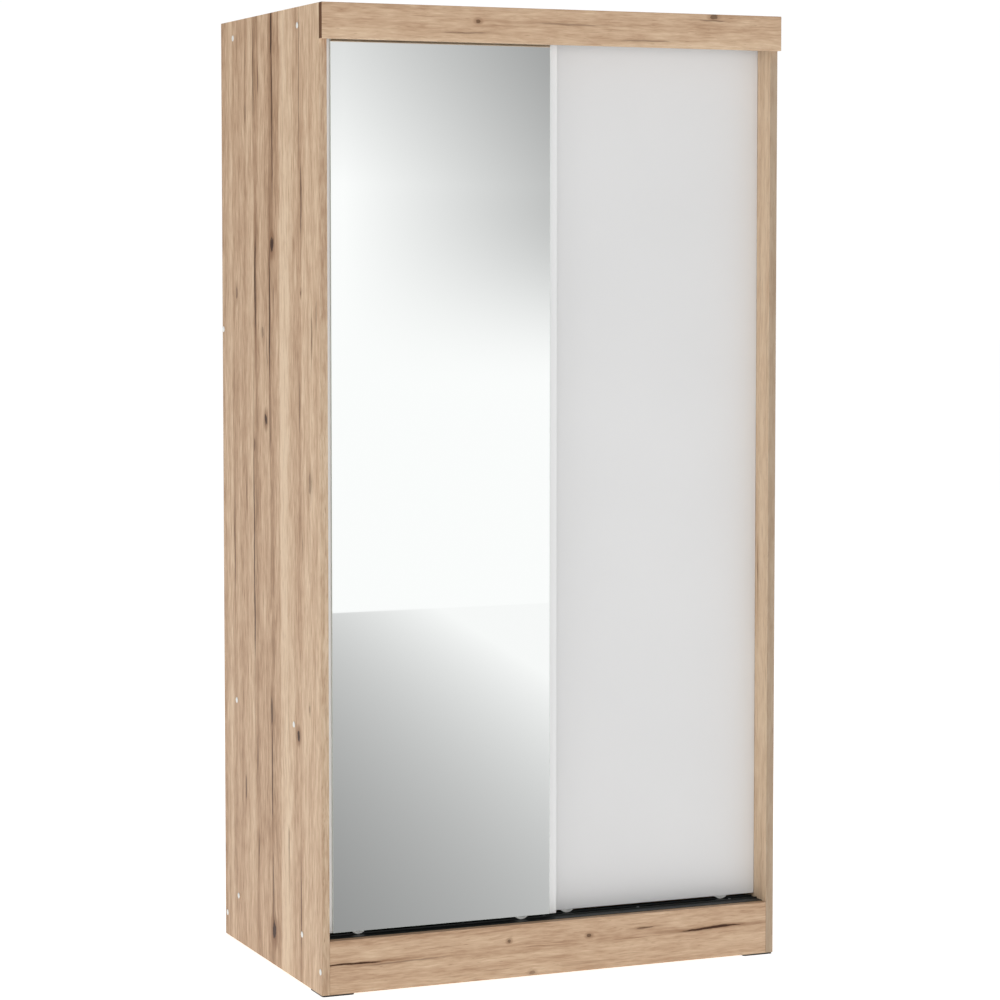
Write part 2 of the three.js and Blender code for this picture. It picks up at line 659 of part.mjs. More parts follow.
// The board of a door, with a pocket for each roller in its back and for each guide in its top edge.
function doorBoard(left, face, stations) {
  const [length, thickness, depth] = GUIDE_PLUG;
  const back = face + BOARD;
  const middle = face + BOARD / 2;
  const pocketTop = DOOR_BOTTOM + POCKET_HEIGHT;
  const pockets = stations.flatMap((x) => [
    box(
      [x - POCKET_HALF_WIDTH, x + POCKET_HALF_WIDTH],
      [back - POCKET_DEPTH, back + 1],
      [DOOR_BOTTOM - 1, pocketTop],
    ),
    box(
      [x - length - GAP, x + length + GAP],
      [middle - thickness - GAP, middle + thickness + GAP],
      [DOOR_TOP - depth - GAP, DOOR_TOP + 1],
    ),
  ]);
  return cut(box([left, left + DOOR_WIDTH], [face, back], [DOOR_BOTTOM, DOOR_TOP]), pockets);
}

function addRollers(door, prefix, face, stations) {
  const y = face + BOARD - WHEEL_BACK_OFFSET;
  for (const [side, x] of [["left", stations[0]], ["right", stations[1]]]) {
    const label = `${prefix}_${side}`;
    place(door, `roller_housing_${label}`, rollerHousing().translate(x, y, WHEEL_Z), whitePlastic);
    place(door, `roller_axle_${label}`, axle().translate(x, y, WHEEL_Z), steel);
    place(door, `roller_wheel_${label}`, wheel().translate(x, y, WHEEL_Z), whitePlastic);
    const guide = topGuide().translate(x, face + BOARD / 2, DOOR_TOP);
    place(door, `top_guide_${label}`, guide, whitePlastic);
  }
}

function addDoor(prefix, left, face) {
  const door = new THREE.Group();
  const stations = [left + WHEEL_FROM_EDGE, left + DOOR_WIDTH - WHEEL_FROM_EDGE];
  place(door, `${prefix}_door_board`, doorBoard(left, face, stations), white);
  addRollers(door, prefix, face, stations);
  wardrobe.add(door);
  return door;
}

function addDoors() {
  const left = -INNER + DOOR_SIDE_GAP;
  const mirrorDoor = addDoor("mirror", left, FRONT_DOOR_FACE);
  const edge = left + (DOOR_WIDTH - MIRROR_WIDTH) / 2;
  const glassDepth = [FRONT_DOOR_FACE - GAP - MIRROR_THICKNESS, FRONT_DOOR_FACE - GAP];
  const glassHeight = [DOOR_BOTTOM + MIRROR_INSET, DOOR_TOP - MIRROR_INSET];
  const glass = box([edge, edge + MIRROR_WIDTH], glassDepth, glassHeight);
  place(mirrorDoor, "mirror_glass", glass, mirror);
  addDoor("white", INNER - DOOR_SIDE_GAP - DOOR_WIDTH, REAR_DOOR_FACE);
}

// ---------------------------------------------------------------- assembly

addBoards();
addBack();
addGlides();
addScrewCaps();
addHangingRail();
addTracks();
addDoors();

wardrobe.position.y = -(PELMET_FRONT + BACK_FACE) / 2;

export default wardrobe;
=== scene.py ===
"""The looks of the sliding door wardrobe: materials on the CAD boards, and finely made fittings."""
import math

import bmesh
import bpy
from mathutils import Euler, Matrix, Vector


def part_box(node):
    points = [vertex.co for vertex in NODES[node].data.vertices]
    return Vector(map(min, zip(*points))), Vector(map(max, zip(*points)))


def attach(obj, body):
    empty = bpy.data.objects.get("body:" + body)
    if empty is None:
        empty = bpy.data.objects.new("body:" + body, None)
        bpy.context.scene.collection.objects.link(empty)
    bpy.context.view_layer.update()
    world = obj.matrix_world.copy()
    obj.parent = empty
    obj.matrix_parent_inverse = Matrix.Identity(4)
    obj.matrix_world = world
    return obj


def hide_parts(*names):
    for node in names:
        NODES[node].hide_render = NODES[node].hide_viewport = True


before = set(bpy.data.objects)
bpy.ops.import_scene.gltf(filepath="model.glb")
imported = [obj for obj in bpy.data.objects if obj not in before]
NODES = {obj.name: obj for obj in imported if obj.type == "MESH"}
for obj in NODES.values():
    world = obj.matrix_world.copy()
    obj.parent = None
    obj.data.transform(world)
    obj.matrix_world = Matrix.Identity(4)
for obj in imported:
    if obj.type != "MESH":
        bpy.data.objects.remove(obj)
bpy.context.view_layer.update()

MM = 0.001
AXES = "xyz"
SIDES = (("left", -1), ("right", 1))

# the faces of a board that its decor covers
ALL_FACES = ["-x", "+x", "-y", "+y", "-z", "+z"]
UPRIGHT = ["-x", "+x", "-y", "+z"]
FLAT = ["-z", "+z", "-y"]


# ---------------------------------------------------------------- node graphs

class Graph:
    """A material's nodes. Each call adds one node and gives its output socket."""

    def __init__(self, name):
        self.material = bpy.data.materials.new(name)
        self.material.use_nodes = True
        self.tree = self.material.node_tree
        self.shader = self.tree.nodes["Principled BSDF"]

    def feed(self, socket, value):
        if isinstance(value, bpy.types.NodeSocket):
            self.tree.links.new(value, socket)
        elif isinstance(value, tuple) and len(value) == 3 and socket.type == "RGBA":
            socket.default_value = (*value, 1)
        else:
            socket.default_value = value

    def coordinates(self):
        node = self.tree.nodes.new("ShaderNodeTexCoord")
        split = self.tree.nodes.new("ShaderNodeSeparateXYZ")
        self.tree.links.new(node.outputs["Object"], split.inputs[0])
        return list(split.outputs)

    def vector(self, x, y, z):
        node = self.tree.nodes.new("ShaderNodeCombineXYZ")
        for socket, value in zip(node.inputs, (x, y, z)):
            self.feed(socket, value)
        return node.outputs[0]

    def split(self, vector):
        node = self.tree.nodes.new("ShaderNodeSeparateXYZ")
        self.feed(node.inputs[0], vector)
        return list(node.outputs)

    def math(self, operation, a, b=0.0, c=0.0):
        node = self.tree.nodes.new("ShaderNodeMath")
        node.operation = operation
        for socket, value in zip(node.inputs, (a, b, c)):
            self.feed(socket, value)
        return node.outputs[0]

    def noise(self, vector, scale=1.0, detail=2.0, roughness=0.5):
        node = self.tree.nodes.new("ShaderNodeTexNoise")
        self.feed(node.inputs["Vector"], vector)
        node.inputs["Scale"].default_value = scale
        node.inputs["Detail"].default_value = detail
        node.inputs["Roughness"].default_value = roughness
        return node.outputs["Fac"]

    def cells(self, vector):
        """Random cells: each cell's own point, and its own three random numbers."""
        node = self.tree.nodes.new("ShaderNodeTexVoronoi")
        self.feed(node.inputs["Vector"], vector)
        node.inputs["Scale"].default_value = 1.0
        return self.split(node.outputs["Position"]), self.split(node.outputs["Color"])

    def remap(self, value, low, high, to_low=0.0, to_high=1.0, smooth=True):
        node = self.tree.nodes.new("ShaderNodeMapRange")
        node.interpolation_type = "SMOOTHSTEP" if smooth else "LINEAR"
        for socket, number in zip(node.inputs, (value, low, high, to_low, to_high)):
            self.feed(socket, number)
        return node.outputs[0]

    def ramp(self, factor, stops):
        node = self.tree.nodes.new("ShaderNodeValToRGB")
        elements = node.color_ramp.elements
        while len(elements) < len(stops):
            elements.new(0.5)
        for element, (position, colour) in zip(elements, stops):
            element.position = position
            element.color = (*colour, 1)
        self.feed(node.inputs[0], factor)
        return node.outputs[0]

    def mix(self, factor, a, b):
        node = self.tree.nodes.new("ShaderNodeMix")
        node.data_type = "RGBA"
        self.feed(node.inputs["Factor"], factor)
        for label, value in (("A", a), ("B", b)):
            self.feed([s for s in node.inputs if s.name == label and s.type == "RGBA"][0], value)
        return [s for s in node.outputs if s.type == "RGBA"][0]

    def bump(self, height, distance):
        node = self.tree.nodes.new("ShaderNodeBump")
        node.inputs["Distance"].default_value = distance
        self.feed(node.inputs["Height"], height)
        self.tree.links.new(node.outputs[0], self.shader.inputs["Normal"])

    def largest(self, values):
        total = values[0]
        for value in values[1:]:
            total = self.math("MAXIMUM", total, value)
        return total

    def set(self, name, value):
        self.feed(self.shader.inputs[name], value)


def srgb(red, green, blue):
    """A colour given as 0 to 255 in sRGB, as the linear numbers that shaders take."""
    def linear(value):
        value /= 255
        return value / 12.92 if value <= 0.04045 else ((value + 0.055) / 1.055) ** 2.4
    return linear(red), linear(green), linear(blue)


# ---------------------------------------------------------------- oak-effect board

OAK_TONES = [
    (0.0, srgb(156, 124, 96)),
    (0.25, srgb(180, 147, 118)),
    (0.5, srgb(197, 166, 137)),
    (0.75, srgb(211, 183, 153)),
    (1.0, srgb(224, 199, 170)),
]
OAK_STREAK = srgb(134, 96, 66)
OAK_CRACK = srgb(60, 35, 20)
OAK_END = srgb(98, 64, 38)
# grey brown of the painted shade on the side panels' front edges
OAK_EDGE_SHADE = srgb(110, 96, 84)
CHIP_TONES = [(0.3, srgb(120, 88, 56)), (0.5, srgb(190, 158, 118)), (0.72, srgb(222, 196, 160))]
DECOR_SKIN = 0.6 * MM
EDGE_STRIP = 0.3 * MM  # how far in from a face the painted shade on a front edge and the darkening of an end reach
OAK_SPECULAR = 0.14
OAK_RELIEF = 0.15 * MM
SEED_STEP = (3.1, 1.7)  # metres that one seed moves the figure, along and across the grain
WAVE_BEND = 0.014
RIPPLE_BEND = 0.009
KNOT_PUSH = 0.8  # how far the grain is pushed aside, in half widths of the knot
CRACK_RAGGED = 2.2
KNOT_RAGGED = 4.0
SMALL_CRACKS = (11, 2.4)  # places for one, per metre across and along the grain
SMALL_CRACK_HALF_WIDTH = 1.3 * MM

# layers of the figure: scale across and along the grain, detail, roughness, and how much it counts
OAK_FIGURE = [
    (40, 1.4, 3, 0.6, 0.95),
    (34, 9, 3, 0.6, 0.6),
    (170, 13, 3, 0.6, 0.95),
    (250, 30, 2, 0.6, 0.6),
]
FINE_AMOUNT = 0.6


def raw_core(graph, node, covered):
    """1 where the board's chipboard core shows: deeper than the decor skin under every covered face."""
    low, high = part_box(node)
    position = graph.coordinates()
    depth = None
    for face in covered:
        axis = AXES.index(face[1])
        limit = low[axis] if face[0] == "-" else high[axis]
        away = graph.math("ABSOLUTE", graph.math("SUBTRACT", position[axis], limit))
        depth = away if depth is None else graph.math("MINIMUM", depth, away)
    return graph.math("GREATER_THAN", depth, DECOR_SKIN)


def chipboard(graph):
    """Colour of the raw core: pale and brown chips pressed together."""
    chips = graph.noise(graph.vector(*graph.coordinates()), scale=420, detail=3, roughness=0.7)
    return graph.ramp(chips, CHIP_TONES)


def reach(graph, across, along, spot):
    """Distance sideways from a spot's middle, and its whole distance squared. Both are 1 at the outline."""
    sideways = graph.math("DIVIDE", graph.math("SUBTRACT", across, spot[0]), spot[2])
    lengthways = graph.math("DIVIDE", graph.math("SUBTRACT", along, spot[1]), spot[3])
    lengthways = graph.math("MULTIPLY", lengthways, lengthways)
    return sideways, graph.math("MULTIPLY_ADD", sideways, sideways, lengthways)


def in_metres(spots):
    """Spots are (across, along, half width, half length, strength), the first four in millimetres."""
    return [tuple(value * MM for value in spot[:4]) + spot[4:] for spot in spots]


def oak(node, grain, across, covered, seed, bands=None, cracks=(), knots=(),
        contrast=0.85, scattered=0.3, painted_edge_shade=0.0, dark_ends=False):
    """Oak-effect melamine. grain and across are axis letters, and seed moves the figure about.

    Cracks and knots are placed from the board's lowest corner, across the grain and then along it.
    scattered is the share of places with a small crack, and painted_edge_shade darkens the front edge with
    painted shade."""
    graph = Graph(f"oak_{node}")
    low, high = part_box(node)
    position = graph.coordinates()
    axis_g, axis_a = AXES.index(grain), AXES.index(across)
    g = graph.math("SUBTRACT", position[axis_g], low[axis_g])
    a = graph.math("SUBTRACT", position[axis_a], low[axis_a])
    t = graph.math("SUBTRACT", position[3 - axis_g - axis_a], low[3 - axis_g - axis_a])

    # slow waves and small ripples in the grain, and its flow around the knots
    sg = graph.math("ADD", g, seed * SEED_STEP[0])
    sa = graph.math("ADD", a, seed * SEED_STEP[1])
    wave = graph.noise(graph.vector(sa, graph.math("MULTIPLY", sg, 0.3), t), scale=6, detail=2)
    ripple = graph.noise(graph.vector(sa, graph.math("MULTIPLY", sg, 0.5), t), scale=26, detail=3)
    bend = graph.math("MULTIPLY_ADD", wave, WAVE_BEND, -WAVE_BEND / 2)
    bend = graph.math("MULTIPLY_ADD", graph.math("SUBTRACT", ripple, 0.5), RIPPLE_BEND, bend)
    bent = graph.math("ADD", a, bend)
    hearts = []
    for spot in in_metres(knots):
        sideways, distance = reach(graph, bent, g, spot)
        hearts.append(distance)
        push = graph.math("DIVIDE", sideways, graph.math("MULTIPLY_ADD", distance, 0.35, 1.0))
        sa = graph.math("MULTIPLY_ADD", push, -KNOT_PUSH * spot[2], sa)
    wa = graph.math("ADD", sa, bend)

    def figure(across_scale, along_scale, detail=2, roughness=0.5):
        stretched = graph.vector(
            graph.math("MULTIPLY", wa, across_scale),
            graph.math("MULTIPLY", sg, along_scale),
            graph.math("MULTIPLY", t, across_scale),
        )
        return graph.noise(stretched, detail=detail, roughness=roughness)

    def add(tone, value, amount):
        return graph.math("MULTIPLY_ADD", graph.math("SUBTRACT", value, 0.5), contrast * amount, tone)

    if bands:
        width = high[axis_a] - low[axis_a]
        place = graph.math("DIVIDE", graph.math("MULTIPLY_ADD", bend, 0.3, a), width)
        tone = graph.ramp(place, [(stop, (value,) * 3) for stop, value in bands])
    else:
        tone = graph.remap(figure(13, 0.3), 0.3, 0.7, 0.36, 0.82)
    fine = figure(620, 34)
    for across_scale, along_scale, detail, roughness, amount in OAK_FIGURE:
        tone = add(tone, figure(across_scale, along_scale, detail, roughness), amount)
    tone = add(tone, fine, FINE_AMOUNT)
    colour = graph.ramp(tone, OAK_TONES)

    # soft brown streaks, fine dark lines and short flecks
    streak = graph.remap(figure(64, 2.6, 4, 0.7), 0.59, 0.76, 0.0, 0.5)
    colour = graph.mix(streak, colour, OAK_STREAK)
    line = graph.remap(figure(230, 5.0, 3), 0.63, 0.76, 0.0, 0.6)
    colour = graph.mix(line, colour, OAK_STREAK)
    fleck = graph.remap(figure(420, 40), 0.64, 0.76, 0.0, 0.5)
    colour = graph.mix(fleck, colour, OAK_STREAK)
    relief = graph.math("MULTIPLY_ADD", graph.math("ADD", line, fleck), -1.0, fine)

    # small scattered cracks, at most one to a cell
    scaled_a = graph.math("MULTIPLY", wa, SMALL_CRACKS[0])
    scaled_g = graph.math("MULTIPLY", sg, SMALL_CRACKS[1])
    point, chance = graph.cells(graph.vector(scaled_a, scaled_g, seed))
    length = graph.math("MULTIPLY_ADD", chance[1], 0.045, 0.012)
    half_length = graph.math("MULTIPLY", length, SMALL_CRACKS[1])
    spot = (point[0], point[1], SMALL_CRACK_HALF_WIDTH * SMALL_CRACKS[0], half_length)
    small = reach(graph, scaled_a, scaled_g, spot)[1]
    kept = graph.math("LESS_THAN", chance[0], scattered)
    small_crack = graph.math("MULTIPLY", graph.remap(small, 1.0, 0.1, 0.0, 0.75), kept)
    small_shade = graph.math("MULTIPLY", graph.remap(small, 12.0, 0.0, 0.0, 0.5), kept)
    masks, shades = [small_crack], [small_shade]

    # the placed cracks and knots: a dark middle with a ragged outline, in a wider brown shade
    ragged = figure(330, 40, 3, 0.65)
    for spot in in_metres(cracks):
        distance = reach(graph, bent, g, spot)[1]
        distance = graph.math("MULTIPLY_ADD", graph.math("SUBTRACT", ragged, 0.5), CRACK_RAGGED, distance)
        masks.append(graph.remap(distance, 1.8, 0.8, 0.0, spot[4]))
        shades.append(graph.remap(distance, 9.0, 0.5, 0.0, 0.6 * spot[4]))
    for spot, distance in zip(knots, hearts):
        rough = graph.math("MULTIPLY_ADD", graph.math("SUBTRACT", ragged, 0.5), KNOT_RAGGED, distance)
        masks.append(graph.remap(rough, 1.2, 0.6, 0.0, spot[4]))
        shades.append(graph.remap(rough, 7.0, 0.6, 0.0, 0.75 * spot[4]))
    crack = graph.largest(masks)
    colour = graph.mix(graph.largest(shades), colour, OAK_STREAK)
    colour = graph.mix(crack, colour, OAK_CRACK)
    relief = graph.math("MULTIPLY_ADD", crack, -2.0, relief)

    # painted shade: the front edge darkened towards a grey brown, by a different amount on each panel
    if painted_edge_shade:
        front = graph.math("LESS_THAN", position[1], low.y + EDGE_STRIP)
        colour = graph.mix(graph.math("MULTIPLY", front, painted_edge_shade), colour, OAK_EDGE_SHADE)
    if dark_ends:
        middle = (low[axis_g] + high[axis_g]) / 2
        away = graph.math("ABSOLUTE", graph.math("SUBTRACT", position[axis_g], middle))
        end = graph.math("GREATER_THAN", away, (high[axis_g] - low[axis_g]) / 2 - EDGE_STRIP)
        colour = graph.mix(end, colour, OAK_END)
    graph.set("Base Color", graph.mix(raw_core(graph, node, covered), colour, chipboard(graph)))
    graph.set("Roughness", graph.remap(fine, 0.2, 0.8, 0.42, 0.56, smooth=False))
    graph.shader.inputs["Specular IOR Level"].default_value = OAK_SPECULAR
    graph.bump(relief, OAK_RELIEF)
    return graph.material


# ---------------------------------------------------------------- other materials

def white_board(node, white):
    """White melamine all over: satin, with the faint orange peel of the press plate. white is 0 to 255."""
    graph = Graph(f"white_{node}")
    place = graph.vector(*graph.coordinates())
    peel = graph.noise(place, scale=900)
    cloud = graph.noise(place, scale=3, detail=1)
    colour = graph.ramp(cloud, [(0.3, srgb(*[white - 2] * 3)), (0.7, srgb(*[white + 1] * 3))])
    graph.set("Base Color", graph.mix(raw_core(graph, node, ALL_FACES), colour, chipboard(graph)))
    graph.set("Roughness", graph.remap(peel, 0.3, 0.7, 0.36, 0.46, smooth=False))
    graph.bump(peel, 0.04 * MM)
    return graph.material


def mirror_glass(node):
    """Silvered glass: a mirror on its face, and pale green glass along its polished edges."""
    graph = Graph("mirror")
    low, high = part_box(node)
    x, y, z = graph.coordinates()
    rims = []
    for value, limit in ((x, low.x), (x, high.x), (z, low.z), (z, high.z)):
        away = graph.math("ABSOLUTE", graph.math("SUBTRACT", value, limit))
        rims.append(graph.math("LESS_THAN", away, 0.5 * MM))
    edge = graph.largest(rims)
    graph.set("Base Color", graph.mix(edge, srgb(243, 245, 244), srgb(214, 226, 220)))
    graph.set("Metallic", graph.math("SUBTRACT", 1.0, edge))
    cloud = graph.noise(graph.vector(x, y, z), scale=5)
    haze = graph.remap(cloud, 0.3, 0.7, 0.008, 0.015, smooth=False)
    graph.set("Roughness", graph.math("MULTIPLY_ADD", edge, 0.2, haze))
    return graph.material


def hardboard(node):
    """3 mm hardboard: raw brown fibre behind, white lacquer inside."""
    graph = Graph(f"hardboard_{node}")
    low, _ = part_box(node)
    x, y, z = graph.coordinates()
    fibre = graph.noise(graph.vector(x, y, z), scale=260, detail=4, roughness=0.7)
    cloud = graph.noise(graph.vector(x, y, z), scale=9, detail=3)
    tones = [(0.25, srgb(112, 78, 48)), (0.55, srgb(150, 110, 72)), (0.8, srgb(180, 142, 100))]
    brown = graph.ramp(fibre, tones)
    brown = graph.mix(graph.remap(cloud, 0.3, 0.7, 0.0, 0.25), brown, srgb(120, 86, 54))
    inside = graph.math("LESS_THAN", y, low.y + 0.4 * MM)
    graph.set("Base Color", graph.mix(inside, brown, srgb(224, 224, 221)))
    graph.set("Roughness", graph.math("MULTIPLY_ADD", inside, -0.35, 0.8))
    graph.bump(fibre, 0.15 * MM)
    return graph.material


def plastic(name, colour, roughness, stretch=(1, 1, 1)):
    """Moulded or drawn plastic, with a fine eroded texture and slight gloss changes."""
    graph = Graph(name)
    scaled = [graph.math("MULTIPLY", value, factor) for value, factor in zip(graph.coordinates(), stretch)]
    place = graph.vector(*scaled)
    cloud = graph.noise(place, scale=60)
    darker = tuple(0.93 * channel for channel in colour)
    graph.set("Base Color", graph.mix(graph.remap(cloud, 0.35, 0.65), darker, colour))
    graph.set("Roughness", graph.remap(cloud, 0.3, 0.7, roughness - 0.05, roughness + 0.05, smooth=False))
    graph.bump(graph.noise(place, scale=1600), 0.02 * MM)
    return graph.material


def metal(name, colour, roughness, stretch=(900, 900, 900)):
    """Plated metal, with polishing marks that are longest on the axis with the lowest number."""
    graph = Graph(name)
    scaled = [graph.math("MULTIPLY", value, factor) for value, factor in zip(graph.coordinates(), stretch)]
    marks = graph.noise(graph.vector(*scaled), detail=3)
    graph.set("Base Color", graph.mix(marks, tuple(0.9 * channel for channel in colour), colour))
    graph.shader.inputs["Metallic"].default_value = 1.0
    graph.set("Roughness", graph.remap(marks, 0.3, 0.7, roughness * 0.8, roughness * 1.3, smooth=False))
    graph.bump(marks, 0.01 * MM)
    return graph.material


# ---------------------------------------------------------------- camera, light and stage

CAMERA_PLACE = (-2.518, -6.0134, 1.4665)
CAMERA_DOWN = 3.545  # degrees below level
CAMERA_TURN = 22.785  # degrees to the right of straight ahead
LENS = 111.8
BACKDROP = 1.02
FILL = 0.29
FLOOR_GLOW = 0.77
FLOOR_REACH = 40
GLOW_GAIN = 1.08
LIGHT_TARGET = (0, 0, 1.0)

# name, location, size, and power in watts
LIGHTS = [
    ("front_light", (-0.6, -8.0, 1.3), (5, 4), 158),
    ("left_light", (-8.0, -1.5, 1.6), (5, 4), 150),
    ("top_light", (0.4, 1.0, 6.0), (4, 4), 80),
]


def add_camera():
    """Three-quarter view from the left, above the middle and a little downwards, with a long lens."""
    data = bpy.data.cameras.new("camera")
    data.lens = LENS
    data.sensor_width = 36
    data.shift_y = -0.055
    data.clip_end = 100
    camera = bpy.data.objects.new("camera", data)
    camera.location = CAMERA_PLACE
    camera.rotation_euler = Euler((math.radians(90 - CAMERA_DOWN), 0, math.radians(-CAMERA_TURN)))
    bpy.context.scene.collection.objects.link(camera)
    bpy.context.scene.camera = camera


def add_area_light(name, location, size, power):
    data = bpy.data.lights.new(name, "AREA")
    data.shape = "RECTANGLE"
    data.size, data.size_y = size
    data.energy = power
    light = bpy.data.objects.new(name, data)
    light.location = location
    aim = Vector(LIGHT_TARGET) - Vector(location)
    light.rotation_euler = aim.to_track_quat("-Z", "Y").to_euler()
    light.visible_glossy = False
    bpy.context.scene.collection.objects.link(light)


def add_world():
    """Pure white behind the wardrobe, and a softer white all round as its fill light."""
    world = bpy.data.worlds.new("studio")
    world.use_nodes = True
    nodes, links = world.node_tree.nodes, world.node_tree.links
    background = nodes["Background"]
    background.inputs["Color"].default_value = (1, 1, 1, 1)
    path = nodes.new("ShaderNodeLightPath")
    strength = nodes.new("ShaderNodeMapRange")
    strength.inputs["To Min"].default_value = FILL
    strength.inputs["To Max"].default_value = BACKDROP
    links.new(path.outputs["Is Camera Ray"], strength.inputs["Value"])
    links.new(strength.outputs[0], background.inputs["Strength"])
    bpy.context.scene.world = world
    bpy.context.scene.view_settings.view_transform = "Standard"


def add_card(name, corners, material):
    mesh = bpy.data.meshes.new(name)
    mesh.from_pydata(corners, [], [(0, 1, 2, 3)])
    mesh.materials.append(material)
    card = bpy.data.objects.new(name, mesh)
    bpy.context.scene.collection.objects.link(card)
    return card


def add_floor():
    """A pale floor. Its own glow keeps it as white as the background."""
    graph = Graph("floor")
    graph.set("Base Color", (0.86, 0.86, 0.86))
    graph.set("Roughness", 0.9)
    graph.shader.inputs["Specular IOR Level"].default_value = 0.0
    graph.set("Emission Color", (1.0, 1.0, 1.0))
    graph.set("Emission Strength", FLOOR_GLOW)
    signs = ((-1, -1), (1, -1), (1, 1), (-1, 1))
    corners = [(x * FLOOR_REACH, y * FLOOR_REACH, 0) for x, y in signs]
    add_card("floor", corners, graph.material)


def glowing(name, tone_of):
    """A surface that only glows; tone_of(graph, x, y, z) gives its tone, 0 to 255 in sRGB."""
    graph = Graph(name)
    tone = tone_of(graph, *graph.coordinates())
    linear = graph.math("POWER", graph.math("DIVIDE", tone, 255.0), 2.2)
    emission = graph.tree.nodes.new("ShaderNodeEmission")
    graph.feed(emission.inputs["Strength"], graph.math("MULTIPLY", linear, GLOW_GAIN))
    output = graph.tree.nodes["Material Output"]
    graph.tree.links.new(emission.outputs[0], output.inputs["Surface"])
    return graph.material


def floor_tone(graph, x, y, z):
    """Painted light and shade of the reflected floor: paler to the right and towards the wardrobe, between
    two limits.
    """
    tone = graph.math("MULTIPLY_ADD", x, 75.0, 181.5)
    tone = graph.math("MULTIPLY_ADD", y, 15.0, tone)
    return graph.math("MAXIMUM", graph.math("MINIMUM", tone, 250.0), 145.0)


def wall_tone(graph, x, y, z):
    """Almost white, with painted shade: darker high up and far to the right."""
    up = graph.math("MULTIPLY_ADD", z, 0.68, -1.185)
    right = graph.math("MULTIPLY_ADD", x, 0.82, -1.46)
    shade = graph.math("ADD", graph.math("MAXIMUM", up, 0.0), graph.math("MAXIMUM", right, 0.0))
    shade = graph.math("MULTIPLY", shade, graph.remap(z, 0.9, 1.7))
    shade = graph.math("MINIMUM", shade, 1.25)
    return graph.math("MULTIPLY_ADD", shade, -80.0, 254.0)


def add_reflections():
    """Painted reflections for the mirror: glowing cards of a grey floor and of a wall with painted shade,
    which appear only in reflections.
    """
    front, wall, wide, high = -0.33, -6.4, 12, 5
    floor = [(-wide, wall, MM), (wide, wall, MM), (wide, front, MM), (-wide, front, MM)]
    back = [(-wide, wall, 0), (wide, wall, 0), (wide, wall, high), (-wide, wall, high)]
    # painted reflections: glowing cards whose tones stand in for the light and shade of a room
    for name, corners, tone_of in (("painted_reflection_floor", floor, floor_tone), ("painted_reflection_wall", back, wall_tone)):
        card = add_card(name, corners, glowing(name, tone_of))
        card.visible_camera = False
        card.visible_diffuse = False
        card.visible_shadow = False
        card.visible_transmission = False


# ---------------------------------------------------------------- mesh building

BEVEL_ANGLE = 40
SHARP_ANGLE = 32


def lathe(profile, segments=48, turn=None):
    """A closed turned shape about Z from (radius, height) points in millimetres; turn tilts it."""
    shape = bmesh.new()
    rings = []
    for radius, height in profile:
        if radius == 0:
            rings.append([shape.verts.new((0, 0, height * MM))] * segments)
            continue
        ring = []
        for k in range(segments):
            u = 2 * math.pi * k / segments
            point = (radius * MM * math.cos(u), radius * MM * math.sin(u), height * MM)
            ring.append(shape.verts.new(point))
        rings.append(ring)
    closed = profile[0][0] > 0
    for lower, upper in zip(rings, rings[1:] + (rings[:1] if closed else [])):
        for k in range(segments):
            corners = []
            for vert in (lower[k], lower[k - 1], upper[k - 1], upper[k]):
                if vert not in corners:
                    corners.append(vert)
            if len(corners) > 2:
                shape.faces.new(corners)
    bmesh.ops.recalc_face_normals(shape, faces=shape.faces)
    if turn:
        bmesh.ops.transform(shape, matrix=turn, verts=shape.verts)
    return shape


def arc(centre, radius, start, end, steps=6):
    """Points of an arc in a profile, from one angle to another in degrees."""
    angles = [math.radians(start + (end - start) * k / steps) for k in range(steps + 1)]
    return [(centre[0] + radius * math.cos(u), centre[1] + radius * math.sin(u)) for u in angles]


def block(low, high):
    """A box from its lowest and highest corners, in millimetres."""
    shape = bmesh.new()
    bmesh.ops.create_cube(shape, size=1)
    size = [(b - a) * MM for a, b in zip(low, high)]
    middle = [(b + a) / 2 * MM for a, b in zip(low, high)]
    bmesh.ops.scale(shape, vec=size, verts=shape.verts)
    bmesh.ops.translate(shape, vec=middle, verts=shape.verts)
    return shape


def outline_solid(points, low, high):
    """A flat outline of (x, z) points, pulled along Y from low to high, in millimetres."""
    shape = bmesh.new()
    front = [shape.verts.new((x * MM, low * MM, z * MM)) for x, z in points]
    rear = [shape.verts.new((x * MM, high * MM, z * MM)) for x, z in points]
    shape.faces.new(front)
    shape.faces.new(rear[::-1])
    for k in range(len(points)):
        shape.faces.new((front[k - 1], front[k], rear[k], rear[k - 1]))
    bmesh.ops.recalc_face_normals(shape, faces=shape.faces)
    return shape


def moved(shape, x=0, y=0, z=0):
    bmesh.ops.translate(shape, vec=(x * MM, y * MM, z * MM), verts=shape.verts)
    return shape


def to_mesh(shape, name):
    mesh = bpy.data.meshes.new(name)
    shape.to_mesh(mesh)
    shape.free()
    return mesh


def gathered(name, shapes):
    """Several loose shapes as one mesh."""
    whole = bmesh.new()
    for shape in shapes:
        part = to_mesh(shape, "part")
        whole.from_mesh(part)
        bpy.data.meshes.remove(part)
    return to_mesh(whole, name)


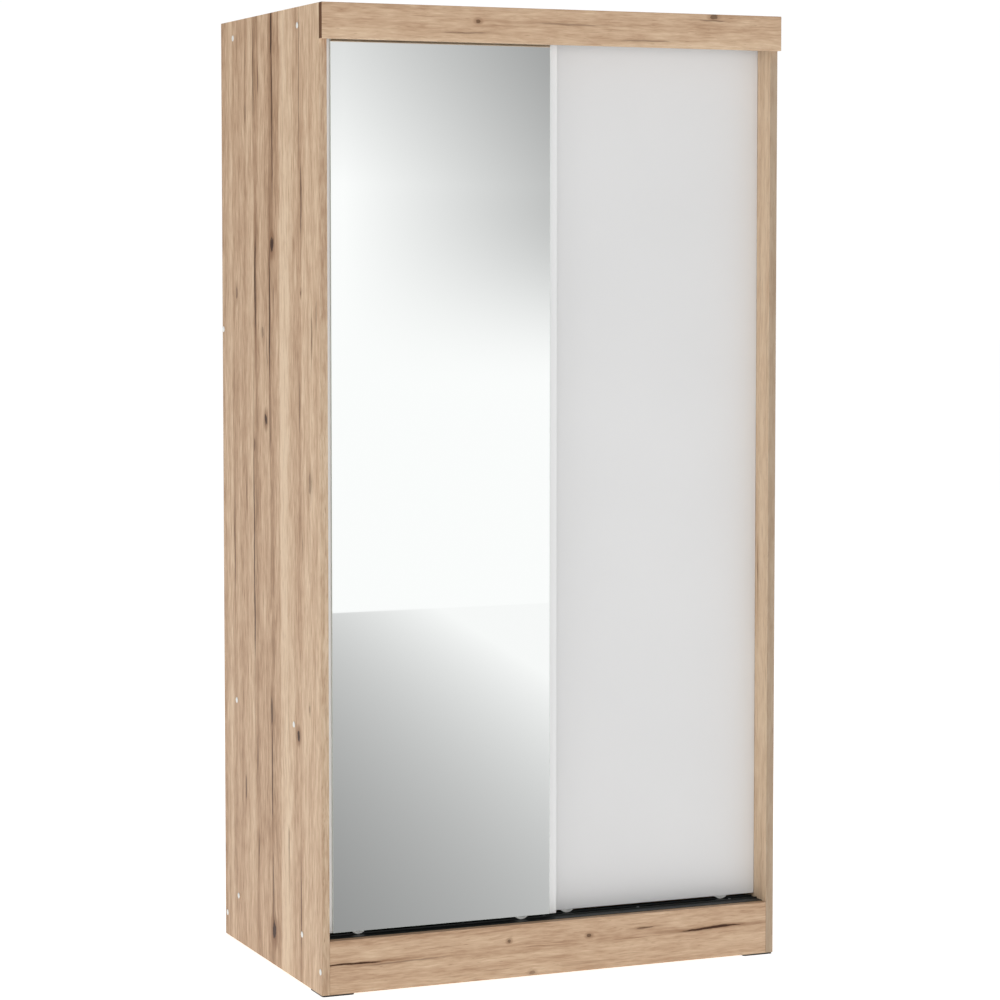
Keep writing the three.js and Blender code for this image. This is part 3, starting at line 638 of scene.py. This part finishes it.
def carved(name, first, joined=(), cut=(), round_by=0.0):
    """One solid: the first shape with others joined to it and cut from it, and its edges rounded."""
    base = bpy.data.objects.new(name, to_mesh(first, name))
    bpy.context.scene.collection.objects.link(base)
    tools = []
    for operation, shapes in (("UNION", joined), ("DIFFERENCE", cut)):
        for shape in shapes:
            tool = bpy.data.objects.new("tool", to_mesh(shape, "tool"))
            bpy.context.scene.collection.objects.link(tool)
            boolean = base.modifiers.new("carve", "BOOLEAN")
            boolean.operation = operation
            boolean.solver = "EXACT"
            boolean.object = tool
            tools.append(tool)
    if round_by:
        weld = base.modifiers.new("weld", "WELD")
        weld.merge_threshold = 0.01 * MM
        add_bevel(base, round_by)
    bpy.context.view_layer.update()
    graph = bpy.context.evaluated_depsgraph_get()
    mesh = bpy.data.meshes.new_from_object(base.evaluated_get(graph))
    for thing in [base] + tools:
        data = thing.data
        bpy.data.objects.remove(thing)
        bpy.data.meshes.remove(data)
    mesh.name = name
    return mesh


def add_bevel(obj, width):
    """Rounds every edge that is sharper than BEVEL_ANGLE. width is in millimetres."""
    bevel = obj.modifiers.new("edges", "BEVEL")
    bevel.width = width * MM
    bevel.segments = 2
    bevel.limit_method = "ANGLE"
    bevel.angle_limit = math.radians(BEVEL_ANGLE)
    return bevel


def add_piece(name, mesh, body, finish, at=(0, 0, 0), turn=None, stands_for=None):
    """A finished mesh in its place, riding on its body. at is in metres, in the row frame."""
    slot, material = finish
    if not mesh.materials:
        mesh.materials.append(material)
        for face in mesh.polygons:
            face.use_smooth = True
        mesh.set_sharp_from_angle(angle=math.radians(SHARP_ANGLE))
    piece = bpy.data.objects.new(name, mesh)
    piece.matrix_world = Matrix.Translation(at) @ (turn or Matrix.Identity(4))
    bpy.context.scene.collection.objects.link(piece)
    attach(piece, body)
    if stands_for:
        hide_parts(stands_for)


def quarter(axis, count):
    """A turn by quarters about X, Y or Z."""
    return Matrix.Rotation(math.radians(90 * count), 4, axis)


# ---------------------------------------------------------------- screws, nails and pins

def cross_recess(radius, depth, top):
    """Two crossed bars that a screw head's recess is cut with."""
    half = 0.17 * radius
    return [
        block((-radius, -half, top - depth), (radius, half, top + 1)),
        block((-half, -radius, top - depth), (half, radius, top + 1)),
    ]


def threaded(radius, start, end, pitch):
    """Profile points of a screw's ridged shank, from start down to its point at end."""
    points = []
    height = start
    while height > end + 2 * pitch:
        points += [(radius * 0.68, height), (radius, height - pitch / 2)]
        height -= pitch
    return points + [(radius * 0.6, end + pitch), (0, end)]


def confirmat():
    """Countersunk furniture screw with a hex socket. Its head's face is at Z = 0."""
    head, shank = 4.9, 3.4
    profile = [(0, -0.3), (head, -0.3), (head, -0.9), (shank, -3.9), (shank, -15.5)]
    body = lathe(profile + threaded(shank, -15.5, -48, 3.0), 24)
    key = 2.6
    socket = lathe([(0, -4.6), (key, -4), (key, 1), (0, 1)], 6)
    return carved("confirmat", body, cut=[socket])


def pan_screw(name, radius, length):
    """Small pan-head screw with a cross recess. The head's underside is at Z = 0."""
    rise, shank = 0.55 * radius, 0.5 * radius
    angles = [math.radians(degrees) for degrees in (15, 30, 45, 60, 75, 90)]
    dome = [(radius * math.sin(u), rise * math.cos(u)) for u in angles]
    profile = [(0, rise)] + dome + [(radius, 0), (shank, 0)] + threaded(shank, -0.4, -length, 1.2)
    body = lathe(profile, 24)
    return carved(name, body, cut=cross_recess(0.55 * radius, 0.45 * radius, rise))


def nail(head, length):
    """Flat nail with a slightly domed head. The head's underside is at Z = 0."""
    shank = 0.8
    profile = [(0, 0.55), (0.6 * head, 0.5), (head, 0.3), (head, 0)]
    profile += [(shank, 0), (shank, 1.5 - length), (0, -length)]
    return lathe(profile, 12)


def shelf_pin():
    """Zinc-plated pin along X: the part in the board's hole, a collar, and the peg under the shelf."""
    bore, peg, collar = 2.35, 2.5, 3.6
    profile = [(0, -8.6), (bore - 0.5, -8.6), (bore, -8), (bore, 0), (collar, 0), (collar, 0.9), (peg, 0.9)]
    profile += arc((peg - 0.8, 7.2), 0.8, 0, 90, 4) + [(0, 8)]
    return to_mesh(lathe(profile, 24, turn=quarter("Y", 1)), "shelf_pin")


# ---------------------------------------------------------------- fittings

def middle_of(node):
    low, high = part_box(node)
    return (low + high) / 2


def add_screw_caps(finish, screws):
    """Domed caps in the side panels' outer faces, and the furniture screws that they cover."""
    rim, edge_height = 6.2, 0.65
    profile = [(0, -5.8), (1.7, -5.8), (2.1, -5.2), (2.1, 0.35), (5.9, 0.35)]
    profile += arc((5.9, edge_height), 0.3, -90, 0, 3)
    angles = [math.radians(degrees) for degrees in (80, 65, 50, 35, 20, 8)]
    dome = [(rim * math.sin(u), edge_height + 1.0 * math.cos(u)) for u in angles]
    mesh = to_mesh(lathe(profile + dome + [(0, 1.65)], 36), "screw_cap")
    for node in [name for name in NODES if name.startswith("screw_cap_")]:
        side = -1 if "_left_" in node else 1
        middle = middle_of(node)
        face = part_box("side_panel_left")[0].x if side < 0 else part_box("side_panel_right")[1].x
        at = (face, middle.y, middle.z)
        turn = quarter("Y", side)
        add_piece(node.replace("screw_cap", "cap"), mesh, "carcass", finish, at, turn, node)
        add_piece(node.replace("screw_cap", "confirmat"), CONFIRMAT, "carcass", screws, at, turn)


def add_partition_screws(screws):
    top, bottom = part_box("top_panel")[1].z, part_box("bottom_panel")[0].z
    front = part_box("side_panel_left")[0].y
    for place, y in (("front", 190), ("rear", 520)):
        at = (0, front + y * MM, top)
        add_piece(f"confirmat_partition_top_{place}", CONFIRMAT, "carcass", screws, at)
        at = (0, front + y * MM, bottom)
        add_piece(f"confirmat_partition_bottom_{place}", CONFIRMAT, "carcass", screws, at, quarter("X", 2))


def add_shelf_pins(finish):
    mesh = shelf_pin()
    left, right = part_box("side_panel_left")[1].x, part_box("partition")[0].x
    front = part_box("side_panel_left")[0].y
    for number in (1, 2, 3):
        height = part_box(f"shelf_adjustable_{number}")[0].z - 2.5 * MM
        for row, y in (("front", 137), ("rear", 560)):
            at = (front + y * MM, height)
            turned = quarter("Z", 2)
            add_piece(f"shelf_pin_{number}_left_{row}", mesh, "carcass", finish, (left, *at))
            add_piece(f"shelf_pin_{number}_right_{row}", mesh, "carcass", finish, (right, *at), turned)


def add_hanging_rail(chrome, screws):
    """Chrome tube between two sockets that are open at the top."""
    low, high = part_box("hanging_rail")
    middle = (low + high) / 2
    half, outer, wall, lip = (high.x - low.x) / 2 / MM, 12.5, 1.2, 0.4
    profile = [(outer - wall, -half + lip)] + arc((outer - wall + lip, -half + lip), lip, 180, 270, 3)
    profile += arc((outer - lip, -half + lip), lip, -90, 0, 3) + arc((outer - lip, half - lip), lip, 0, 90, 3)
    profile += arc((outer - wall + lip, half - lip), lip, 90, 180, 3)
    mesh = to_mesh(lathe(profile, 72, turn=quarter("Y", 1)), "hanging_tube")
    add_piece("hanging_tube", mesh, "carcass", chrome, middle, stands_for="hanging_rail")

    flange, reach_in, seat, shell, plate_radius, screw_offset = 3, 17, 12.8, 15.2, 23, 19
    rim = arc((plate_radius - 1, flange - 1), 1, 0, 90, 4)
    plate = lathe([(0, 0), (plate_radius, 0)] + rim + [(0, flange)], 72)
    cup = lathe([(0, 0.1), (shell, 0.1), (shell, reach_in), (0, reach_in)], 72)
    bore = lathe([(0, flange), (seat, flange), (seat, reach_in + 1), (0, reach_in + 1)], 72)
    mouth = block((-plate_radius, -seat, flange), (0, seat, reach_in + 1))
    hole = [(0, -1), (2, -1), (2, 4), (0, 4)]
    screw_holes = [moved(lathe(hole, 16), y=side * screw_offset) for side in (-1, 1)]
    mesh = carved("rail_cup", plate, joined=[cup], cut=[bore, mouth] + screw_holes, round_by=0.3)
    for node, side in (("rail_socket_partition", 1), ("rail_socket_side", -1)):
        low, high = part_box(node)
        face = low.x if side > 0 else high.x
        at = Vector((face, middle.y, middle.z))
        turn = quarter("Y", 1) if side > 0 else quarter("Z", 2) @ quarter("Y", 1)
        add_piece(node.replace("socket", "cup"), mesh, "carcass", chrome, at, turn, node)
        for label, offset in (("front", -screw_offset), ("rear", screw_offset)):
            spot = at + Vector((side * flange, offset, 0)) * MM
            add_piece(f"{node}_screw_{label}", SMALL_SCREW, "carcass", screws, spot, quarter("Y", side))


def add_wheels(finish):
    """Grooved nylon wheels: hub, solid web with six ribs on each side, and a rim."""
    half, groove, web, bore, hub, rim = 3.5, 1.6, 1.2, 2.3, 5.5, 13.2
    profile = [(bore, -half), (5.2, -half), (hub, -half + 0.3), (hub, -web)]
    profile += [(rim, -web), (rim, -half + 0.3), (13.5, -half)]
    profile += arc((17.4, -half + 0.6), 0.6, -90, 0, 3) + [(18, -groove), (15, -groove + 0.4)]
    profile += [(radius, -height) for radius, height in profile[::-1]]
    ribs = []
    for k in range(6):
        for low, high in ((-half + 0.8, -web + 0.2), (web - 0.2, half - 0.8)):
            rib = block((5.2, -0.6, low), (13.4, 0.6, high))
            turn = Matrix.Rotation(math.radians(60 * k), 3, "Z")
            bmesh.ops.rotate(rib, cent=(0, 0, 0), matrix=turn, verts=rib.verts)
            ribs.append(rib)
    mesh = gathered("door_wheel", [lathe(profile, 64)] + ribs)
    mesh.transform(quarter("X", 1))
    for door in ("mirror", "white"):
        for side, _ in SIDES:
            label = f"{door}_{side}"
            node = f"roller_wheel_{label}"
            middle = middle_of(node)
            add_piece(f"door_wheel_{label}", mesh, f"wheel_{label}", finish, middle, stands_for=node)


def add_roller_fittings(housing_finish, axle_finish, screws):
    """Housings with a rounded cup and flange, their axles, and the screws into the door's back."""
    low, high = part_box("roller_housing_mirror_left")
    centre = middle_of("roller_wheel_mirror_left")
    bottom, top = (low.z - centre.z) / MM, (high.z - centre.z) / MM
    front, back = (low.y - centre.y) / MM, (high.y - centre.y) / MM
    wide = (high.x - low.x) / 2 / MM
    cup_side, plate, room, slot = wide - 8, 1.7, 19.2, 4.1
    screw_out, screw_up = cup_side + 4, 2
    cup = block((-cup_side, front, bottom), (cup_side, back, top))
    flange = block((-wide, back - plate, bottom), (wide, back, top))
    way = block((-room, -slot, bottom - 1), (room, slot, 0))
    axis = quarter("X", 1)
    dome = lathe([(0, -slot), (room, -slot), (room, slot), (0, slot)], 64, turn=axis)
    bore = lathe([(0, -30), (2.3, -30), (2.3, 30), (0, 30)], 24, turn=axis)
    holes = []
    for side in (-1, 1):
        hole = lathe([(0, -12), (2, -12), (2, 12), (0, 12)], 16, turn=axis)
        holes.append(moved(hole, side * screw_out, back, screw_up))
    mesh = carved("roller_cup", cup, joined=[flange], cut=[way, dome, bore] + holes, round_by=0.4)
    half_pin = 5.8
    pin = [(0, -half_pin), (1.6, -half_pin), (2, -half_pin + 0.4)]
    pin += [(radius, -height) for radius, height in pin[::-1]]
    axle_mesh = to_mesh(lathe(pin, 32, turn=axis), "roller_pin")
    for door in ("mirror", "white"):
        body = f"{door}_door"
        for side, _ in SIDES:
            label = f"{door}_{side}"
            housing, axle = f"roller_housing_{label}", f"roller_axle_{label}"
            wheel = middle_of(f"roller_wheel_{label}")
            add_piece(f"roller_cup_{label}", mesh, body, housing_finish, wheel, stands_for=housing)
            at = middle_of(axle)
            add_piece(f"roller_pin_{label}", axle_mesh, body, axle_finish, at, stands_for=axle)
            for end, offset in SIDES:
                spot = wheel + Vector((offset * screw_out, back, screw_up)) * MM
                add_piece(f"roller_screw_{label}_{end}", SMALL_SCREW, body, screws, spot, quarter("X", -1))


def add_top_guides(finish):
    """Plug in the door's top edge, a collar, and a round-shouldered tongue that runs in the track."""
    low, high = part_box("top_guide_mirror_left")
    door_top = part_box("mirror_door_board")[1].z
    depth, tip = (door_top - low.z) / MM, (high.z - door_top) / MM
    tongue = [(-12, 0.3), (12, 0.3)] + arc((8, tip - 4), 4, 0, 90, 6) + arc((-8, tip - 4), 4, 90, 180, 6)
    fin = outline_solid(tongue, -2.5, 2.5)
    collar = block((-18, -6, 0.3), (18, 6, 2.3))
    plug = block((-15, -4, -depth), (15, 4, 2.2))
    hollows = [block((x - 5.5, -2.4, -depth - 1), (x + 5.5, 2.4, -3)) for x in (-7, 7)]
    mesh = carved("guide_body", collar, joined=[plug, fin], cut=hollows, round_by=0.4)
    for door in ("mirror", "white"):
        for side, _ in SIDES:
            node = f"top_guide_{door}_{side}"
            middle = middle_of(node)
            at = (middle.x, middle.y, door_top)
            add_piece(f"guide_body_{door}_{side}", mesh, f"{door}_door", finish, at, stands_for=node)


def add_track_screws(screws):
    """Five screws along each track, on the bottom track's floor and up into the top track's base."""
    bottom_thickness, bottom_line, top_thickness, top_line = 1.0, 53.6, 1.8, 52
    low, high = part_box("track_bottom")
    floor = low.z + bottom_thickness * MM
    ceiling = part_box("track_top")[1].z - top_thickness * MM
    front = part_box("side_panel_left")[0].y
    upside_down = quarter("X", 2)
    for k in range(5):
        x = low.x + (high.x - low.x) * (0.06 + 0.22 * k)
        at = (x, front + bottom_line * MM, floor)
        add_piece(f"track_screw_bottom_{k + 1}", SMALL_SCREW, "carcass", screws, at)
        at = (x, front + top_line * MM, ceiling)
        add_piece(f"track_screw_top_{k + 1}", SMALL_SCREW, "carcass", screws, at, upside_down)


def add_pelmet_brackets(finish, screws):
    """Three bent steel angles in the tray on top, which hold the pelmet from behind."""
    wide, leg, sheet, bend, screw_out = 18, 22, 1.5, 2.5, 14
    inside = arc((bend, bend), bend - sheet, 270, 180, 5)
    outside = arc((bend, bend), bend, 180, 270, 5)
    section = outside + [(leg, 0), (leg, sheet)] + inside + [(sheet, leg), (0, leg)]
    shape = outline_solid(section, -wide / 2, wide / 2)
    mesh = carved("angle", shape, round_by=0.25)
    mesh.transform(quarter("Z", 1))
    deck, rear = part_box("top_panel")[1].z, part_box("pelmet")[1].y
    for label, x in (("left", -0.33), ("middle", 0.0), ("right", 0.33)):
        add_piece(f"pelmet_angle_{label}", mesh, "carcass", finish, (x, rear, deck))
        on_deck = (x, rear + screw_out * MM, deck + sheet * MM)
        on_pelmet = (x, rear + sheet * MM, deck + screw_out * MM)
        add_piece(f"pelmet_screw_deck_{label}", SMALL_SCREW, "carcass", screws, on_deck)
        add_piece(f"pelmet_screw_front_{label}", SMALL_SCREW, "carcass", screws, on_pelmet, quarter("X", -1))


def spaced(first, last, count):
    return [first + (last - first) * k / (count - 1) for k in range(count)]


def add_back_nails(finish):
    """Nails round each back panel, into every board edge that it lies on."""
    heights = {"top_panel": SIDES, "bottom_panel": SIDES, "back_rail": SIDES, "shelf_fixed": SIDES[:1]}
    for side, sign in SIDES:
        low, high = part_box(f"back_panel_{side}")
        edge = middle_of(f"side_panel_{side}").x
        spots = [(edge, z) for z in spaced(low.z + 0.04, high.z - 0.02, 14)]
        for node, sides in heights.items():
            if (side, sign) in sides:
                level = middle_of(node).z
                spots += [(sign * x, level) for x in spaced(0.07, 0.40, 4)]
        shapes = []
        for x, z in spots:
            shape = nail(2.6, 20)
            bmesh.ops.rotate(shape, cent=(0, 0, 0), matrix=quarter("X", -1).to_3x3(), verts=shape.verts)
            bmesh.ops.translate(shape, vec=(x, high.y, z), verts=shape.verts)
            shapes.append(shape)
        add_piece(f"back_nails_{side}", gathered(f"back_nails_{side}", shapes), "carcass", finish)


def add_glide_nails(finish):
    shapes = []
    for node in [name for name in NODES if name.startswith("glide_")]:
        middle = middle_of(node)
        low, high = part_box(node)
        quarter_length = (high.y - low.y) / 4
        for y in (middle.y - quarter_length, middle.y + quarter_length):
            shape = nail(1.8, 16)
            bmesh.ops.rotate(shape, cent=(0, 0, 0), matrix=quarter("X", 2).to_3x3(), verts=shape.verts)
            bmesh.ops.translate(shape, vec=(middle.x, y, 1.4 * MM), verts=shape.verts)
            shapes.append(shape)
    add_piece("glide_nails", gathered("glide_nails", shapes), "carcass", finish)


# ---------------------------------------------------------------- run

# bands are (place across the grain from the lowest corner, 0 to 1, and the tone there, 0 dark to 1 pale)
LEFT_BANDS = [
    (0.0, 0.66), (0.17, 0.66), (0.20, 0.38), (0.25, 0.50), (0.285, 0.68), (0.31, 0.86), (0.388, 0.88),
    (0.398, 0.46), (0.45, 0.36), (0.485, 0.16), (0.51, 0.40), (0.59, 0.52), (0.64, 0.22), (0.665, 0.62),
    (0.72, 0.52), (0.76, 0.44), (0.88, 0.46), (0.905, 0.64), (0.95, 0.48), (1.0, 0.3),
]
# the pale first tenth, at the front, is painted light on the inner face in the door recess, where shade
# falls; the rest is the board's figure
RIGHT_BANDS_AND_PAINTED_LIGHT = [
    (0.0, 0.86), (0.1, 0.86), (0.16, 0.5), (0.34, 0.62), (0.45, 0.36), (0.6, 0.7), (0.8, 0.4), (1.0, 0.55),
]
# the pelmet's bands run from pale at its bottom to darker at its top: painted shade, as if lit from below
PELMET_PAINTED_SHADE_BANDS = [(0.0, 0.7), (0.25, 0.62), (0.5, 0.5), (0.8, 0.48), (1.0, 0.42)]
PLINTH_BANDS = [
    (0.0, 0.5), (0.3, 0.52), (0.38, 0.62), (0.48, 0.44), (0.6, 0.36), (0.72, 0.52), (0.85, 0.5), (1.0, 0.4),
]

# cracks and knots are spots, as in_metres describes them
LEFT_CRACKS = [
    (291, 1905, 4.0, 42, 0.95), (289, 1740, 2.4, 150, 0.8), (306, 1330, 2.6, 125, 0.9),
    (307, 1120, 1.8, 50, 0.55), (405, 1830, 2.5, 90, 0.55), (398, 1395, 3.6, 85, 0.95),
    (412, 850, 2.4, 180, 0.8), (409, 700, 1.8, 60, 0.7), (120, 1790, 1.8, 130, 0.45),
    (110, 1570, 3.0, 60, 0.6), (121, 1160, 2.4, 45, 0.5), (542, 850, 2.0, 80, 0.6),
    (300, 395, 2.4, 85, 0.85), (302, 525, 4.5, 26, 0.8), (122, 150, 2.2, 75, 0.65),
    (460, 1752, 2.6, 20, 0.6), (374, 1815, 2.6, 24, 0.5), (473, 339, 3.0, 22, 0.7),
    (47, 1300, 2.2, 30, 0.5), (22, 1340, 1.8, 25, 0.4), (297, 150, 2.2, 66, 0.7),
    (322, 1262, 2.0, 24, 0.5), (395, 420, 2.4, 36, 0.5), (387, 229, 2.2, 18, 0.5),
]
LEFT_KNOTS = [
    (290, 1479, 10, 16, 0.95), (332, 1122, 7, 12, 0.9), (136, 498, 7, 11, 0.95), (293, 71, 11, 18, 0.95),
    (60, 1009, 9, 20, 0.35), (522, 1379, 6, 12, 0.45), (350, 1300, 7, 12, 0.35), (111, 1384, 3, 6, 0.6),
    (406, 1067, 5, 12, 0.5), (66, 560, 4, 8, 0.4),
]
PELMET_CRACKS = [
    (56, 842, 1.4, 24, 0.45), (18, 300, 1.5, 40, 0.35), (42, 520, 1.4, 60, 0.3), (12, 690, 1.4, 45, 0.35),
]
PELMET_KNOTS = [(42, 327, 3.5, 5, 0.6), (64, 846, 4.5, 8, 0.6)]
PLINTH_CRACKS = [
    (61, 44, 1.4, 62, 0.95), (64, 840, 1.9, 58, 0.95), (76, 689, 1.2, 18, 0.7), (56, 150, 1.2, 80, 0.35),
]
PLINTH_KNOTS = [(75, 384, 2.6, 4, 0.6), (72, 561, 3.0, 5, 0.65), (7, 435, 3, 6, 0.4)]

OAK_BOARDS = {
    # the side panels' front edges carry painted shade, strongest on the right panel
    "side_panel_left": oak("side_panel_left", "z", "y", UPRIGHT, 0.0, LEFT_BANDS, LEFT_CRACKS, LEFT_KNOTS,
                           contrast=1.25, scattered=0.2, painted_edge_shade=0.18),
    "side_panel_right": oak("side_panel_right", "z", "y", UPRIGHT, 1.0, RIGHT_BANDS_AND_PAINTED_LIGHT, painted_edge_shade=0.5),
    "partition": oak("partition", "z", "y", UPRIGHT[:3], 2.0),
    "pelmet": oak("pelmet", "x", "z", ALL_FACES, 3.0, PELMET_PAINTED_SHADE_BANDS, PELMET_CRACKS, PELMET_KNOTS,
                  scattered=0.1, dark_ends=True),
    "plinth_front": oak("plinth_front", "x", "z", ["-y", "+y", "+z"], 4.0, PLINTH_BANDS, PLINTH_CRACKS,
                        PLINTH_KNOTS, scattered=0.1),
    "plinth_rear": oak("plinth_rear", "x", "z", ["-y", "+y"], 5.0),
    "back_rail": oak("back_rail", "x", "z", ["-y", "+y", "-z"], 6.0),
    "top_panel": oak("top_panel", "x", "y", FLAT, 7.0),
    "bottom_panel": oak("bottom_panel", "x", "y", FLAT, 8.0),
    "shelf_fixed": oak("shelf_fixed", "x", "y", FLAT, 9.0),
    "shelf_adjustable_1": oak("shelf_adjustable_1", "x", "y", FLAT, 10.0),
    "shelf_adjustable_2": oak("shelf_adjustable_2", "x", "y", FLAT, 11.0),
    "shelf_adjustable_3": oak("shelf_adjustable_3", "x", "y", FLAT, 12.0),
}
WHITE_PLASTIC = ("white_plastic", plastic("white_plastic", srgb(238, 238, 234), 0.35))
CHROME = ("chrome", metal("chrome", srgb(226, 228, 230), 0.09, (40, 900, 900)))
STEEL = ("steel", metal("zinc_plate", srgb(196, 198, 200), 0.3))
BLACK_STEEL = ("steel", metal("black_zinc", srgb(48, 50, 50), 0.4))
BLACK = plastic("black_plastic", srgb(26, 30, 29), 0.42, (0.05, 1, 1))
GLIDE_BLACK = plastic("glide_plastic", srgb(22, 20, 20), 0.5)
MIRROR_DOOR_WHITE = 231
WHITE_DOOR_WHITE = 223


def dress(node, material, edge=0.6):
    """A CAD node's material, and a small rounding of its edges in millimetres."""
    obj = NODES[node]
    obj.material_slots[0].material = material
    obj.modifiers.new("weld", "WELD").merge_threshold = 0.001 * MM
    add_bevel(obj, edge).harden_normals = True


def dress_nodes():
    for node, material in OAK_BOARDS.items():
        dress(node, material)
    for node, white in (("mirror_door_board", MIRROR_DOOR_WHITE), ("white_door_board", WHITE_DOOR_WHITE)):
        dress(node, white_board(node, white))
    for node in ("back_panel_left", "back_panel_right"):
        dress(node, hardboard(node), 0.2)
    dress("mirror_glass", mirror_glass("mirror_glass"), 0.4)
    dress("back_joint_strip", WHITE_PLASTIC[1], 0.15)
    dress("track_bottom", BLACK, 0.2)
    dress("track_top", BLACK, 0.2)
    for node in NODES:
        if node.startswith("glide_"):
            dress(node, GLIDE_BLACK, 0.4)


CONFIRMAT = confirmat()
SMALL_SCREW = pan_screw("small_screw", 3.2, 14)

add_camera()
add_world()
for light in LIGHTS:
    add_area_light(*light)
add_floor()
add_reflections()
dress_nodes()
add_screw_caps(WHITE_PLASTIC, STEEL)
add_partition_screws(STEEL)
add_shelf_pins(STEEL)
add_hanging_rail(CHROME, STEEL)
add_wheels(WHITE_PLASTIC)
add_roller_fittings(WHITE_PLASTIC, STEEL, STEEL)
add_top_guides(WHITE_PLASTIC)
add_track_screws(BLACK_STEEL)
add_pelmet_brackets(STEEL, STEEL)
add_back_nails(STEEL)
add_glide_nails(STEEL)
